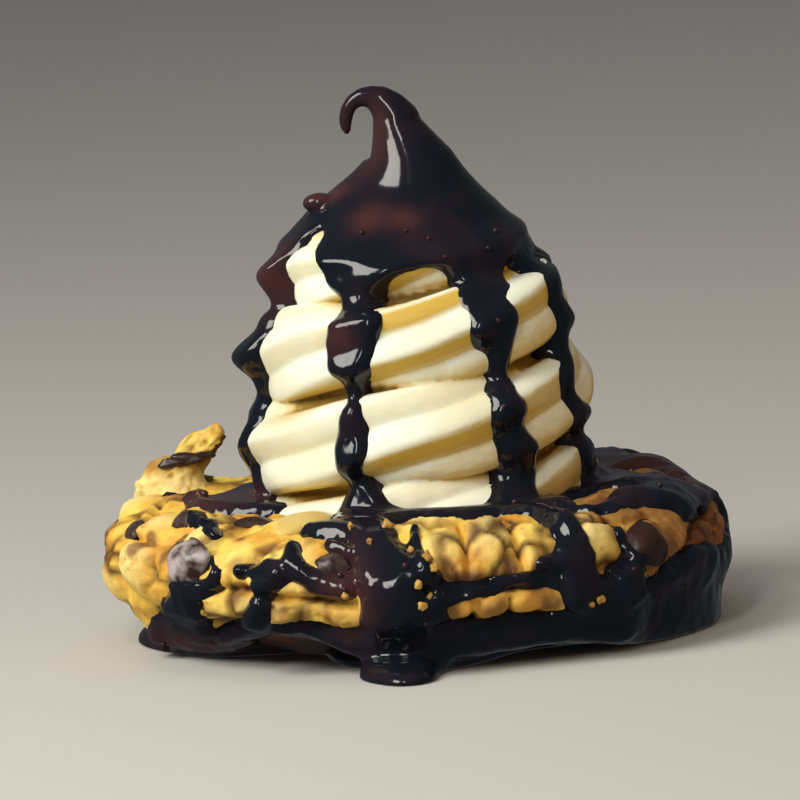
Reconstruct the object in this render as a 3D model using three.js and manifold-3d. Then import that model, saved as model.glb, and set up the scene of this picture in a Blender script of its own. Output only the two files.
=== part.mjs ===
// A cookie sundae: one thick chocolate chip cookie, a soft-serve swirl standing on it, and dark
// chocolate sauce poured over both, which runs over the rim and pools round the foot.
// Millimetres, +Z up. The origin is the centre of the cookie's flat underside. The front is -Y.
// An azimuth is in degrees, 0 at the front and 90 on the right.
import * as THREE from "three";
import { mergeVertices } from "three/addons/utils/BufferGeometryUtils.js";
import Module from "manifold-3d";

const wasm = await Module();
wasm.setup();

// Clearance between pieces that touch. A cut leaves no edge shorter than SHORT_EDGE that can be dropped
// with the skin moving less than SKIN_SHIFT.
const GAP = 0.35;
const SHORT_EDGE = 2.5;
const SKIN_SHIFT = 0.12;

// Cookie: its widest radius is at the height COOKIE_EQUATOR, and it rounds in above and below
const COOKIE_RADIUS = 57.4;
const COOKIE_HEIGHT = 25.5;
const COOKIE_EQUATOR = 15;
const COOKIE_SHOULDER = 13;
const COOKIE_UNDERCUT = 8;
const COOKIE_FLAT_RADIUS = 37;
const CRAG_COUNT = 64;
const CRAG_WIDTHS = [6.5, 11];
const CRAG_HEIGHTS = [1.6, 3.5];
const CREVICE_HEIGHT = 9;
const CREVICE_DEPTH = 3;
const FLAKE_Y = 20;

// Soft serve: a star-shaped rope, coiled upwards round SWIRL_X. Each turn climbs less than the one below.
const SWIRL_X = 2.5;
const SWIRL_REACH = 33.6;
const SWIRL_FIRST_HEIGHT = 22.5;
const FIRST_CLIMB = 18.9;
const CLIMB_LOSS = 1.5;
const ROPE_TURNS = 3.45;
const SHOWN_TURNS = 3.25;
const ROPE_HALF_WIDTH = 10.6;
const ROPE_HEIGHT_SHARE = 0.58;
const ROPE_SQUARENESS = 2.7;
const STAR_POINTS = 6;
const STAR_DEPTH = 0.17;
const STAR_TWIST = 240;
const CROWN_HEIGHT = 83;
const CROWN_TOP_RADIUS = 10.2;

// Chocolate sauce
const SAUCE_DEPTH = 1.7;
const CAP_EDGE_HEIGHT = 70;
const POOL_RADIUS = 37;
const POOL_DEPTH = 1.9;
const BANK_HEIGHT = 5;
const TONGUE_AZIMUTH = -3.5;

const rad = THREE.MathUtils.degToRad;
const { clamp, lerp, smoothstep } = THREE.MathUtils;

// A repeatable number from 0 to 1 for item i of series k
function share(i, k) {
  const value = Math.sin(i * 12.9898 + k * 78.233 + 4.1) * 43758.5453;
  return value - Math.floor(value);
}

// How near azimuth a is to b: 1 there, fading to 0 over the width w
function near(a, b, w) {
  const apart = Math.abs(((((a - b) % 360) + 540) % 360) - 180);
  return Math.exp(-((apart / w) ** 2));
}

function around(azimuth, r, z, centreX = 0) {
  return new THREE.Vector3(centreX + r * Math.sin(rad(azimuth)), -r * Math.cos(rad(azimuth)), z);
}

// The azimuths of a ring with count points
function allRound(count) {
  return Array.from({ length: count }, (_, i) => (i * 360) / count);
}

// A point of an oval ring: its middle, the two half axes as vectors, and the angle round it
function onOval(middle, first, second, angle) {
  return middle
    .clone()
    .addScaledVector(first, Math.cos(rad(angle)))
    .addScaledVector(second, Math.sin(rad(angle)));
}

// A solid whose skin runs over rings of equally many points, each end closed on its middle
function loft(rings) {
  const count = rings[0].length;
  const points = rings.flat();
  const faces = [];
  for (let row = 0; row + 1 < rings.length; row++)
    for (let i = 0; i < count; i++) {
      const j = (i + 1) % count;
      const [a, b] = [row * count + i, row * count + j];
      faces.push(a, b, b + count, a, b + count, a + count);
    }
  for (const [row, flip] of [[0, true], [rings.length - 1, false]]) {
    const middle = new THREE.Vector3();
    rings[row].forEach((p) => middle.addScaledVector(p, 1 / count));
    points.push(middle);
    for (let i = 0; i < count; i++) {
      const [a, b] = [row * count + i, row * count + ((i + 1) % count)];
      faces.push(...(flip ? [b, a] : [a, b]), points.length - 1);
    }
  }
  return solidOf(new THREE.BufferGeometry().setFromPoints(points).setIndex(faces));
}

// A closed three.js geometry as a solid for joining and cutting
function solidOf(geometry) {
  for (const name of Object.keys(geometry.attributes))
    if (name !== "position") geometry.deleteAttribute(name);
  const merged = mergeVertices(geometry, 1e-4);
  const index = new Uint32Array(merged.index.array);
  const make = () =>
    new wasm.Manifold(
      new wasm.Mesh({ numProp: 3, vertProperties: merged.attributes.position.array, triVerts: index }),
    );
  const solid = make();
  if (solid.volume() > 0) return solid;
  for (let i = 0; i < index.length; i += 3) [index[i + 1], index[i + 2]] = [index[i + 2], index[i + 1]];
  return make();
}

function join(solids) {
  return solids.reduce((all, one) => all.add(one));
}

// The largest body of a solid, without the scraps and the shortest edges that a cut leaves
function mainBody(solid) {
  return dropShortEdges(solid.decompose().sort((a, b) => b.volume() - a.volume())[0]);
}

// Joins the two ends of each edge shorter than SHORT_EDGE, where the skin stays closed, no face turns over
// and the joined point stays within SKIN_SHIFT of the faces that met there
function dropShortEdges(solid) {
  const { vertProperties, triVerts } = solid.getMesh();
  const points = Array.from({ length: vertProperties.length / 3 }, (_, i) =>
    new THREE.Vector3().fromArray(vertProperties, 3 * i),
  );
  const faces = Array.from({ length: triVerts.length / 3 }, (_, i) => [...triVerts.slice(3 * i, 3 * i + 3)]);
  const facesOf = points.map(() => new Set());
  faces.forEach((face, f) => face.forEach((v) => facesOf[v].add(f)));
  const planeOf = (face) => new THREE.Triangle(...face.map((v) => points[v])).getPlane(new THREE.Plane());
  const ring = (v) => new Set([...facesOf[v]].flatMap((f) => faces[f]));

  for (let f = 0; f < faces.length; f++)
    for (let side = 0; side < 3 && faces[f]; side++) {
      const [keep, drop] = [faces[f][side], faces[f][(side + 1) % 3]];
      if (points[keep].distanceTo(points[drop]) > SHORT_EDGE) continue;
      const dropRing = ring(drop);
      if ([...ring(keep)].filter((v) => dropRing.has(v)).length !== 4) continue;
      const doomed = [...facesOf[drop]].filter((g) => facesOf[keep].has(g));
      const moved = [...facesOf[keep], ...facesOf[drop]].filter((g) => !doomed.includes(g));
      const before = moved.map((g) => planeOf(faces[g]));
      const ends = [points[keep].clone(), points[drop].clone()];
      const fits = [ends[0], ends[1], ends[0].clone().lerp(ends[1], 0.5)].some((place) => {
        points[keep].copy(place);
        points[drop].copy(place);
        return before.every((plane, i) => {
          const turned = planeOf(faces[moved[i]]).normal.dot(plane.normal) < 0.5;
          return !turned && Math.abs(plane.distanceToPoint(place)) < SKIN_SHIFT;
        });
      });
      if (!fits) {
        points[keep].copy(ends[0]);
        points[drop].copy(ends[1]);
        continue;
      }
      for (const g of doomed) {
        faces[g].forEach((v) => facesOf[v].delete(g));
        faces[g] = null;
      }
      for (const g of facesOf[drop]) {
        faces[g] = faces[g].map((v) => (v === drop ? keep : v));
        facesOf[keep].add(g);
      }
      facesOf[drop].clear();
    }
  return solidOf(new THREE.BufferGeometry().setFromPoints(points).setIndex(faces.filter(Boolean).flat()));
}

function meshOf(name, solid, material) {
  const made = solid.getMesh();
  const geometry = new THREE.BufferGeometry();
  geometry.setAttribute("position", new THREE.BufferAttribute(made.vertProperties, 3));
  geometry.setIndex(new THREE.BufferAttribute(made.triVerts, 1));
  geometry.computeVertexNormals();
  const mesh = new THREE.Mesh(geometry, material);
  mesh.name = name;
  return mesh;
}

const bakedDough = new THREE.MeshStandardMaterial({ color: "#dca548", roughness: 0.75 });
const softServe = new THREE.MeshStandardMaterial({ color: "#f4efd2", roughness: 0.45 });
const darkSauce = new THREE.MeshStandardMaterial({ color: "#2a1a17", roughness: 0.12 });
const chipChocolate = new THREE.MeshStandardMaterial({ color: "#40291f", roughness: 0.4 });

// Cookie. Its side is two quarter ellipses that meet at the equator. Psi runs up it, from -90 degrees
// at the underside's edge to 90 degrees where the flat top starts.
function cookieRadius(azimuth) {
  const a = rad(azimuth);
  const waves = 0.9 * Math.sin(2 * a + 0.6) + 0.7 * Math.sin(3 * a - 1.1) + 0.5 * Math.sin(5 * a + 2);
  return COOKIE_RADIUS + waves;
}

// The underside rounds in furthest at the left and hardly at the right
function cookieUndercut(azimuth) {
  return COOKIE_UNDERCUT + 14 * near(azimuth, -84, 34) - 6 * near(azimuth, 90, 32);
}

function cookieEquator(azimuth) {
  return COOKIE_EQUATOR + 4 * near(azimuth, -80, 40);
}

// The edge lifts off the table at the front left, and less at the front right
function cookieLift(azimuth) {
  return 7.5 * near(azimuth, -31, 26) + 4 * near(azimuth, 25, 26);
}

function cookieSide(azimuth, psi) {
  const equator = cookieEquator(azimuth);
  const inset = (psi < 0 ? cookieUndercut(azimuth) : COOKIE_SHOULDER) * (1 - Math.cos(rad(psi)));
  const halfHeight = psi < 0 ? equator - cookieLift(azimuth) : COOKIE_HEIGHT - equator;
  return around(azimuth, cookieRadius(azimuth) - inset, equator + halfHeight * Math.sin(rad(psi)));
}

// The radius of the side at a height below the equator
function lowerSideRadius(azimuth, z) {
  const [low, high] = [cookieLift(azimuth), cookieEquator(azimuth)];
  const drop = 1 - clamp((z - low) / (high - low), 0, 1);
  return cookieRadius(azimuth) - cookieUndercut(azimuth) * (1 - Math.sqrt(1 - drop * drop));
}

function cookieTop(azimuth, r) {
  return around(azimuth, r, COOKIE_HEIGHT);
}

function outward(azimuth, psi) {
  return around(azimuth, Math.cos(rad(psi)), Math.sin(rad(psi))).normalize();
}

// Rounded crags of dough: a golden-angle spread over the side and the shoulder
const crags = Array.from({ length: CRAG_COUNT }, (_, i) => {
  const azimuth = (i * 137.508) % 360;
  const onTop = i % 4 === 3;
  const place = onTop
    ? cookieTop(azimuth, lerp(COOKIE_FLAT_RADIUS, 46, share(i, 1)))
    : cookieSide(azimuth, lerp(-42, 82, share(i, 1)));
  const width = lerp(...CRAG_WIDTHS, share(i, 2));
  const height = lerp(...CRAG_HEIGHTS, share(i, 3)) * (onTop ? 0.7 : 1);
  return { place, width, height };
});

function cragHeight(point) {
  let height = 0;
  for (const crag of crags) {
    const away = point.distanceTo(crag.place) / crag.width;
    height = Math.max(height, crag.height * (1 - away * away));
  }
  return height;
}

// The crevice between the cookie's upper and lower lip, deepest at the front
function creviceDepth(azimuth, z) {
  const reach = 0.35 + 0.65 * near(azimuth, 10, 55) + 0.4 * near(azimuth, 170, 50);
  return CREVICE_DEPTH * reach * Math.exp(-(((z - CREVICE_HEIGHT) / 1.9) ** 2));
}

function cookieSkin(azimuth, psi, swell = 0) {
  const point = cookieSide(azimuth, psi);
  const fade = smoothstep(psi, -85, -45);
  const move = (cragHeight(point) - creviceDepth(azimuth, point.z)) * fade;
  return point.addScaledVector(outward(azimuth, psi), move + swell);
}

function cookieTopSkin(azimuth, r, swell = 0) {
  const point = cookieTop(azimuth, r);
  point.z += cragHeight(point) * smoothstep(r, COOKIE_FLAT_RADIUS, 44) + swell;
  return point;
}

function cookieSolid(swell = 0) {
  const columns = allRound(60);
  const rings = [columns.map((azimuth) => around(azimuth, 32, -swell))];
  for (const psi of [-90, -62, -42, -30, -22, -12, 2, 18, 34, 50, 68, 86])
    rings.push(columns.map((azimuth) => cookieSkin(azimuth, psi, swell)));
  for (const r of [41.5, COOKIE_FLAT_RADIUS])
    rings.push(columns.map((azimuth) => cookieTopSkin(azimuth, r, swell)));
  return loft(rings);
}

// A raised flake of crust at the back left: a wedge that is fused to the rim and leans in over the top
function flakeSolid(swell = 0) {
  const levels = [
    { z: 20, x: -45, long: 7.5, deep: 6 },
    { z: 25.5, x: -46, long: 7.4, deep: 5.2 },
    { z: 29.6, x: -45.2, long: 6.6, deep: 4.2 },
    { z: 32.6, x: -41.9, long: 5.8, deep: 3.6 },
    { z: 35.2, x: -39.1, long: 4.8, deep: 2.6 },
    { z: 37.4, x: -37.9, long: 1.8, deep: 1.1 },
  ];
  const levelRing = ({ z, x, long, deep }, level) =>
    allRound(12).map((angle, i) => {
      const rough = 1 + 0.16 * (share(i, 30 + level) - 0.5);
      const raised = z > 26 ? 1.2 * (share(i, 50 + level) - 0.5) + swell : 0;
      const first = new THREE.Vector3(long * rough + swell, 0, 0);
      const second = new THREE.Vector3(0, deep * rough + swell, 0);
      return onOval(new THREE.Vector3(x, FLAKE_Y, z + raised), first, second, angle);
    });
  return loft(levels.map(levelRing));
}

// Chocolate chips: rounded drops, sunk into the dough by more than half. The first ones are where they
// show at the front, and the others go on round the cookie.
const chips = [
  { azimuth: -49, psi: 20, width: 5.4, long: 5.8 },
  { azimuth: -60, psi: 74, width: 3.3, long: 4.8 },
  { azimuth: -77, psi: 42, width: 2.8, long: 3.4 },
  { azimuth: -43, r: 43, width: 2.9, long: 6 },
  { azimuth: 47, psi: 24, width: 4.6, long: 5.6 },
  { azimuth: -17, psi: 30, width: 3, long: 4 },
  { azimuth: -96, psi: 8, width: 3.8, long: 4.6 },
  ...Array.from({ length: 7 }, (_, i) => ({
    azimuth: 82 + i * 25 + 8 * share(i, 60),
    psi: i % 2 ? lerp(-5, 25, share(i, 61)) : lerp(42, 66, share(i, 61)),
    width: lerp(3.2, 4.8, share(i, 62)),
    long: lerp(4, 5.6, share(i, 63)),
  })),
];

function chipSolid({ azimuth, psi, r, width, long }, index, swell = 0) {
  const onTop = psi === undefined;
  const place = onTop ? cookieTopSkin(azimuth, r) : cookieSkin(azimuth, psi);
  const out = onTop ? new THREE.Vector3(0, 0, 1) : outward(azimuth, psi);
  const side = around(azimuth + 90, 1, 0);
  const rise = new THREE.Vector3().crossVectors(out, side);
  const levelRing = (latitude) =>
    allRound(9).map((angle, i) => {
      const level = Math.cos(rad(latitude)) ** 0.7 * (1 + 0.14 * (share(i, 70 + index) - 0.5));
      const stand = (0.62 * width + swell) * Math.sin(rad(latitude)) - 0.2 * width;
      const first = side.clone().multiplyScalar(long * level + swell);
      const second = rise.clone().multiplyScalar(width * level + swell);
      return onOval(place.clone().addScaledVector(out, stand), first, second, angle);
    });
  return loft([-65, -25, 15, 55].map(levelRing));
}

// Soft serve. The rope's middle climbs a helix: turn t is 0 at the front and grows towards the right.
function ropeHeight(t) {
  return SWIRL_FIRST_HEIGHT + FIRST_CLIMB * t - (CLIMB_LOSS / 2) * t * t;
}

// The last turn thins as it is drawn up into the tip
function ropeTaper(t) {
  return 1 - 0.55 * smoothstep(t, 2.85, ROPE_TURNS);
}

function ropeHalfHeight(t) {
  return ROPE_HEIGHT_SHARE * (FIRST_CLIMB - CLIMB_LOSS * t) * ropeTaper(t);
}

function ropeHalfWidth(t) {
  return (ROPE_HALF_WIDTH - 0.4 * t) * ropeTaper(t);
}

// The radius that the coil's outer side reaches
function coilReach(t) {
  return SWIRL_REACH - 0.4 * Math.max(t, 0) ** 3;
}

// The rope's section is a squarish ellipse with ridges, which climb it as it turns
function ropeSection(t, angle, swell) {
  const [across, up] = [Math.cos(angle), Math.sin(angle)];
  const corner = Math.abs(across) ** ROPE_SQUARENESS + Math.abs(up) ** ROPE_SQUARENESS;
  const ridge = Math.abs(Math.cos((STAR_POINTS / 2) * (angle - rad(STAR_TWIST * t))));
  const size = corner ** (-1 / ROPE_SQUARENESS) * (1 - STAR_DEPTH * (1 - ridge));
  const r = coilReach(t) - ropeHalfWidth(t) + (ropeHalfWidth(t) * size + swell) * across;
  return around(360 * t, r, ropeHeight(t) + (ropeHalfHeight(t) * size + swell) * up, SWIRL_X);
}

// The rope in half turns. Three points draw each ridge: two on its back and one in the valley.
function ropeSolids(swell) {
  const turnSteps = 18;
  const starAngles = Array.from({ length: STAR_POINTS }, (_, i) => [i - 0.24, i + 0.24, i + 0.5])
    .flat()
    .map((place) => (place / STAR_POINTS) * 2 * Math.PI);
  const solids = [];
  for (let start = -0.5; start < SHOWN_TURNS; start += 0.5) {
    const end = Math.min(start + 0.5, SHOWN_TURNS);
    const steps = Math.ceil((end - start) * turnSteps);
    const sectionAt = (t) => starAngles.map((angle) => ropeSection(t, angle + rad(STAR_TWIST * t), swell));
    solids.push(loft(Array.from({ length: steps + 1 }, (_, i) => sectionAt(lerp(start, end, i / steps)))));
  }
  return solids;
}

// The radius of the swirl's outer side at a height, ridges left out
function swirlReach(azimuth, z) {
  const cone = CROWN_TOP_RADIUS + 1.45 * (CROWN_HEIGHT + 1 - z);
  let reach = clamp(cone, CROWN_TOP_RADIUS, 21);
  for (let t = azimuth / 360 - 2; t < ROPE_TURNS; t++) {
    const off = Math.abs((z - ropeHeight(t)) / ropeHalfHeight(t));
    if (t < -0.6 || off > 1) continue;
    const inset = ropeHalfWidth(t) * (1 - (1 - off ** ROPE_SQUARENESS) ** (1 / ROPE_SQUARENESS));
    reach = Math.max(reach, coilReach(t) - inset);
  }
  return reach;
}

function smoothReach(azimuth, z) {
  const offsets = [-3, -1.5, 0, 1.5, 3];
  return offsets.reduce((sum, off) => sum + swirlReach(azimuth, z + off) / offsets.length, 0);
}

function pathThrough(places) {
  return new THREE.CatmullRomCurve3(places.map((place) => new THREE.Vector3(...place)));
}

// A tapering round body along a path, one radius for each section
function taperSolid(radii, path) {
  const back = new THREE.Vector3(0, 1, 0);
  return loft(
    radii.map((radius, i) => {
      const part = i / (radii.length - 1);
      const across = new THREE.Vector3().crossVectors(back, path.getTangent(part)).multiplyScalar(radius);
      const deep = back.clone().multiplyScalar(radius);
      return allRound(12).map((angle) => onOval(path.getPoint(part), across, deep, angle));
    }),
  );
}

// Above the middle of the last turn that shows, the swirl is a plain crown, which the sauce covers
function crownSolid(swell) {
  return loft(
    [60, 66, 71.5, 76, 80, CROWN_HEIGHT].map((z) =>
      allRound(24).map((azimuth) => {
        const turnsBack = THREE.MathUtils.euclideanModulo(SHOWN_TURNS - azimuth / 360, 1);
        const hidden = z < ropeHeight(SHOWN_TURNS - turnsBack);
        const r = hidden ? 16 : smoothReach(azimuth, z) - 0.5;
        return around(azimuth, r + swell, z + (z < CROWN_HEIGHT ? 0 : swell), SWIRL_X);
      }),
    ),
  );
}

// The tip that the last turn is drawn up into
function tipSolid(swell) {
  const middles = [[4.4, 0, CROWN_HEIGHT - 1.5], [3.6, 0, 89.6], [2, 0, 95.3], [0, 0, 99.5 + swell]];
  return taperSolid([10, 7.6, 5.4, 3.8, 1.6].map((radius) => radius + swell), pathThrough(middles));
}

function swirlSolid(swell = 0) {
  const levels = [[22, 20], [58, 20], [70, 17.5], [78, 13], [82, 8]];
  const coreRing = ([z, r]) => allRound(16).map((azimuth) => around(azimuth, r + 3 * swell, z, SWIRL_X));
  const core = loft(levels.map(coreRing));
  return join([core, ...ropeSolids(swell), crownSolid(1.7 * swell), tipSolid(swell)]);
}

// Sauce over the swirl. Each run starts under the cap. It ends on the cookie's top, or in a bead.
const runs = [
  { top: -38, foot: -20, width: 7.4 },
  { top: 31, foot: 29, width: 7 },
  { top: 60, foot: 78, width: 5.6 },
  { top: -88, foot: -84, width: 6.6 },
  { top: 118, foot: 124, width: 6.4, beadHeight: 40 },
  { top: 160, foot: 154, width: 7.6 },
  { top: 205, foot: 209, width: 6 },
  { top: 241, foot: 236, width: 7, beadHeight: 48 },
];

// The radius of a coat on the swirl: it stands off by its depth on ledges too, and half fills the seams
function coatReach(azimuth, z, depth) {
  const rims = [-0.8, -0.4, 0, 0.4, 0.8].map(
    (part) => swirlReach(azimuth, z + part * depth) + depth * Math.sqrt(1 - part * part),
  );
  return Math.max(smoothReach(azimuth, z) + depth, ...rims);
}

// The height of the cap's lower edge: it hangs lowest at the runs, with an arch between them
function capEdge(azimuth) {
  const pull = Math.max(...runs.map((run) => near(azimuth, run.top, 15)));
  return CAP_EDGE_HEIGHT + 5 * near(azimuth, -58, 16) - 3 * near(azimuth, 52, 20) - 8 * pull;
}

function capSolid() {
  const ringAt = (part, reachOf) =>
    allRound(45).map((azimuth) => {
      const z = lerp(capEdge(azimuth), CROWN_HEIGHT + SAUCE_DEPTH, part);
      return around(azimuth, reachOf(azimuth, z), z, SWIRL_X);
    });
  const coat = (azimuth, z) => coatReach(azimuth, z, SAUCE_DEPTH);
  const lip = (azimuth, z) => coatReach(azimuth, z, SAUCE_DEPTH / 3);
  const coatRings = [0.14, 0.4, 0.62, 0.82, 1].map((part) => ringAt(part, coat));
  return loft([ringAt(0, () => 18), ringAt(0.02, lip), ...coatRings]);
}

function runSolid({ top, foot, width, beadHeight }, index) {
  const steps = 11;
  const end = beadHeight ?? COOKIE_HEIGHT + 0.5;
  const section = (part, step) => {
    const z = lerp(CAP_EDGE_HEIGHT + 6, end, part);
    const azimuth = lerp(top, foot, part);
    const flare = beadHeight ? -0.25 * part : 0.35 * smoothstep(part, 0.85, 1);
    const shoulder = 0.5 * (1 - smoothstep(part, 0, 0.3));
    const halfWidth = (width / 2) * (1 + 0.16 * Math.sin(step * 1.3 + index * 2) + flare + shoulder);
    const depth = SAUCE_DEPTH * (beadHeight && step > steps - 3 ? 1.5 : 1.15);
    const reach = coatReach(azimuth, z, depth) - depth;
    return allRound(8).map((angle) => {
      const sweep = THREE.MathUtils.radToDeg((halfWidth * Math.cos(rad(angle))) / reach);
      const stand = (angle > 180 ? 3 : 1) * depth * Math.sin(rad(angle));
      return around(azimuth + sweep, reach + stand, z, SWIRL_X);
    });
  };
  return loft(Array.from({ length: steps + 1 }, (_, i) => section(i / steps, i)));
}

// The sauce's own tip: over the swirl's tip, then curled over to the left and down
const curlPath = pathThrough([
  [4.2, 0, 79],
  [4.6, 0, 84],
  [3.6, 0, 89.6],
  [2, 0, 95.3],
  [-0.2, 0, 99.2],
  [-3, 0, 101.4],
  [-6.4, 0, 100.8],
  [-8, 0, 97.8],
]);
const curlRadii = [15.5, 12.4, 10.3, 8.3, 6.4, 4.8, 3.5, 2.6, 2, 0.8];

// Sauce on the cookie: the pool round the swirl's foot, wider where a run comes down
function poolReach(azimuth) {
  const lobes = [[-84, 6], [-18, 5], [29, 5], [60, 11], [92, 12], [118, 12], [154, 6], [209, 4]];
  const spread = lobes.reduce((sum, [at, more]) => sum + more * near(azimuth, at, 15), 0);
  return POOL_RADIUS + spread + 1.2 * Math.sin(9 * rad(azimuth));
}

function poolSolid() {
  const pointAt = (azimuth, inset, z) => around(azimuth, poolReach(azimuth) - inset, z, SWIRL_X / 2);
  const ringAt = (inset, z) => allRound(45).map((azimuth) => pointAt(azimuth, inset, COOKIE_HEIGHT + z));
  return loft([ringAt(0, -1), ringAt(0.6, POOL_DEPTH - 0.8), ringAt(3.4, POOL_DEPTH)]);
}

// Sauce that runs from the pool over the rim to the foot. Two runs start lower, at the angle psi.
const rimRuns = [
  { azimuth: -6, width: 14 },
  { azimuth: 32, width: 11 },
  { azimuth: 66, width: 13 },
  { azimuth: 88, width: 9 },
  { azimuth: -50, width: 8, psi: 6 },
  { azimuth: -27, width: 8, psi: 2 },
  { azimuth: 128, width: 9 },
  { azimuth: 156, width: 12 },
  { azimuth: 208, width: 10 },
];

function rimRunSolid({ azimuth, width, psi }, index) {
  const fromTop = psi === undefined;
  const stations = fromTop ? [[cookieTop(azimuth, 36), 90], [cookieTop(azimuth, 41), 90]] : [];
  for (let at = psi ?? 84; at > -80; at -= 22) stations.push([cookieSide(azimuth, at), at]);
  const floor = new THREE.Vector3(-Infinity, -Infinity, 0.3);
  const side = around(azimuth + 90, 1, 0);
  const section = ([place, at], i) => {
    const out = outward(azimuth, at);
    const halfWidth = (width / 2) * (1 + 0.2 * Math.sin(i * 1.7 + index * 2.3));
    const middle = place.clone().addScaledVector(side, 1.2 * Math.sin(i * 0.9 + index));
    if (i === 0 && !fromTop) middle.addScaledVector(out, -2);
    return allRound(8).map((angle) => {
      const depth = angle < 180 ? SAUCE_DEPTH + 1.6 : 3;
      const across = side.clone().multiplyScalar(halfWidth);
      return onOval(middle, across, out.clone().multiplyScalar(depth), angle).max(floor);
    });
  };
  return loft(stations.map(section));
}

// The puddle round the foot. It leaves the lifted edges clear.
function puddleReach(azimuth) {
  const waves = 1.4 * Math.sin(4 * rad(azimuth) + 1) + 0.9 * Math.sin(11 * rad(azimuth));
  const notch = 21 * near(azimuth, -39, 25) + 4 * near(azimuth, -85, 26) + 16 * near(azimuth, 33, 30);
  return cookieRadius(azimuth) - 1.5 - notch + waves;
}

function puddleSolid() {
  const pointAt = (azimuth, inset, z) => around(azimuth, puddleReach(azimuth) - inset, z);
  const ringAt = (inset, z) => allRound(60).map((azimuth) => pointAt(azimuth, inset, z));
  return loft([ringAt(0.4, 0), ringAt(0.2, 1.4), ringAt(2.2, 2.9), ringAt(7, 3.4)]);
}

// Sauce that clings to the cookie's lower side, higher and deeper at the right of the front
function bankSolid() {
  const ringAt = (part, depth) =>
    allRound(60).map((azimuth) => {
      const rise = near(azimuth, 62, 26);
      const z = cookieLift(azimuth) + part * (BANK_HEIGHT + 6 * rise + 0.9 * Math.sin(9 * rad(azimuth)));
      return around(azimuth, lowerSideRadius(azimuth, z) + depth * (1 + 0.5 * rise), Math.max(z, 0.2));
    });
  return loft([ringAt(0, 1.9), ringAt(0.5, 1.9), ringAt(0.85, SAUCE_DEPTH), ringAt(1, 0.4), ringAt(1, -6)]);
}

// The long tongue that the main flow pushes out over the table
function tongueSolid() {
  const middle = around(TONGUE_AZIMUTH, 52, 0);
  const ringAt = (inset, z) =>
    allRound(14).map((angle) => {
      const along = around(TONGUE_AZIMUTH, 14.5 - inset, 0);
      return onOval(middle, along, around(TONGUE_AZIMUTH + 90, 7.6 - 0.9 * inset, 0), angle).setZ(z);
    });
  return loft([ringAt(0.5, 0), ringAt(0, 1.2), ringAt(1.6, 2.9), ringAt(4.4, 3.9)]);
}

// Assembly. The swirl's foot is cut flat on the cookie's top, and the sauce is cut round what it lies on,
// with room for the skins to shift.
const chipBodies = chips.map((chip, i) => chipSolid(chip, i));
const pockets = join(chips.map((chip, i) => chipSolid(chip, i, GAP)));
const cookie = mainBody(join([cookieSolid(), flakeSolid()]).subtract(pockets));

const belowTop = new THREE.CylinderGeometry(60, 60, 40, 48).rotateX(Math.PI / 2);
belowTop.translate(0, 0, COOKIE_HEIGHT + GAP - 20);
const swirl = mainBody(swirlSolid().subtract(solidOf(belowTop)));

const poured = join([
  capSolid(),
  ...runs.map(runSolid),
  taperSolid(curlRadii, curlPath),
  poolSolid(),
  ...rimRuns.map(rimRunSolid),
  puddleSolid(),
  bankSolid(),
  tongueSolid(),
]);
const covered = join([cookieSolid(GAP), flakeSolid(GAP), pockets, swirlSolid(GAP + SKIN_SHIFT)]);
const sauce = mainBody(poured.subtract(covered));

const sundae = new THREE.Group();
sundae.add(meshOf("cookie", cookie, bakedDough));
sundae.add(meshOf("soft_serve", swirl, softServe));
sundae.add(meshOf("chocolate_sauce", sauce, darkSauce));
chipBodies.forEach((body, i) => {
  sundae.add(meshOf(`chip_${String(i + 1).padStart(2, "0")}`, body, chipChocolate));
});

export default sundae;
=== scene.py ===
import math

import bpy
import numpy as np
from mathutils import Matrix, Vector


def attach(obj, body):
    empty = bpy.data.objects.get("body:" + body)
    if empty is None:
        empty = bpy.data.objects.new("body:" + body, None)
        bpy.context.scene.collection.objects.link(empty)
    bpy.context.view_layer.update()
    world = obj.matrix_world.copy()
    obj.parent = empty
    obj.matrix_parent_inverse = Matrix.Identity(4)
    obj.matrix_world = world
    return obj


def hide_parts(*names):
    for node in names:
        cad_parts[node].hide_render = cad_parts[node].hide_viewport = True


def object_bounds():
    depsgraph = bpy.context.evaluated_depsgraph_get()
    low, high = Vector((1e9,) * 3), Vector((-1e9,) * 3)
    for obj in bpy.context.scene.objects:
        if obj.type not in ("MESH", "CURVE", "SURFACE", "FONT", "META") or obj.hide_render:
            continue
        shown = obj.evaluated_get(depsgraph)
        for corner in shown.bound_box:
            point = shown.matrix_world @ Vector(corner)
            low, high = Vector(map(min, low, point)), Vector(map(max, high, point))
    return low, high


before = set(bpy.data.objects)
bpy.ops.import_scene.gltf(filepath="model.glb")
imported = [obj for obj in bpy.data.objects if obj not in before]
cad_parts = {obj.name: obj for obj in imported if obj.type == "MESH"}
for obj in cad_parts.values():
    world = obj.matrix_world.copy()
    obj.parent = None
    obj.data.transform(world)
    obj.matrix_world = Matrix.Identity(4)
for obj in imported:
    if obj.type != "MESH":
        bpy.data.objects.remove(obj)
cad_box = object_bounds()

# The cookie
# One thick round cookie of butter dough, baked on a flat tray until golden. Its right is made browner as
# painted shade. Its side has cracked into rounded crags, with a long crevice between an upper and a lower
# lip. All sizes are in millimetres, and an azimuth is in degrees, 0 at the front and 90 on the right.
COOKIE_RADIUS = 57.4
COOKIE_HEIGHT = 25.5
COOKIE_SHOULDER = 13
SIDE_LOW = 20
SIDE_HIGH = 39
TOP_FLAT_RADIUS = 37
TOP_RIM_RADIUS = 46
CRAG_COUNT = 64
GOLDEN_ANGLE = 137.508
CREVICE_HEIGHT = 9
CREVICE_DEPTH = 3
CREVICE_WIDTH = 1.9
DENT_SIZE = 9.0
SMALL_LUMP_SIZE = 3.6
CRUMB_SIZE = 2.3
PORE_SIZE = 1.7
COOKIE_COLUMNS = 660
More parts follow.
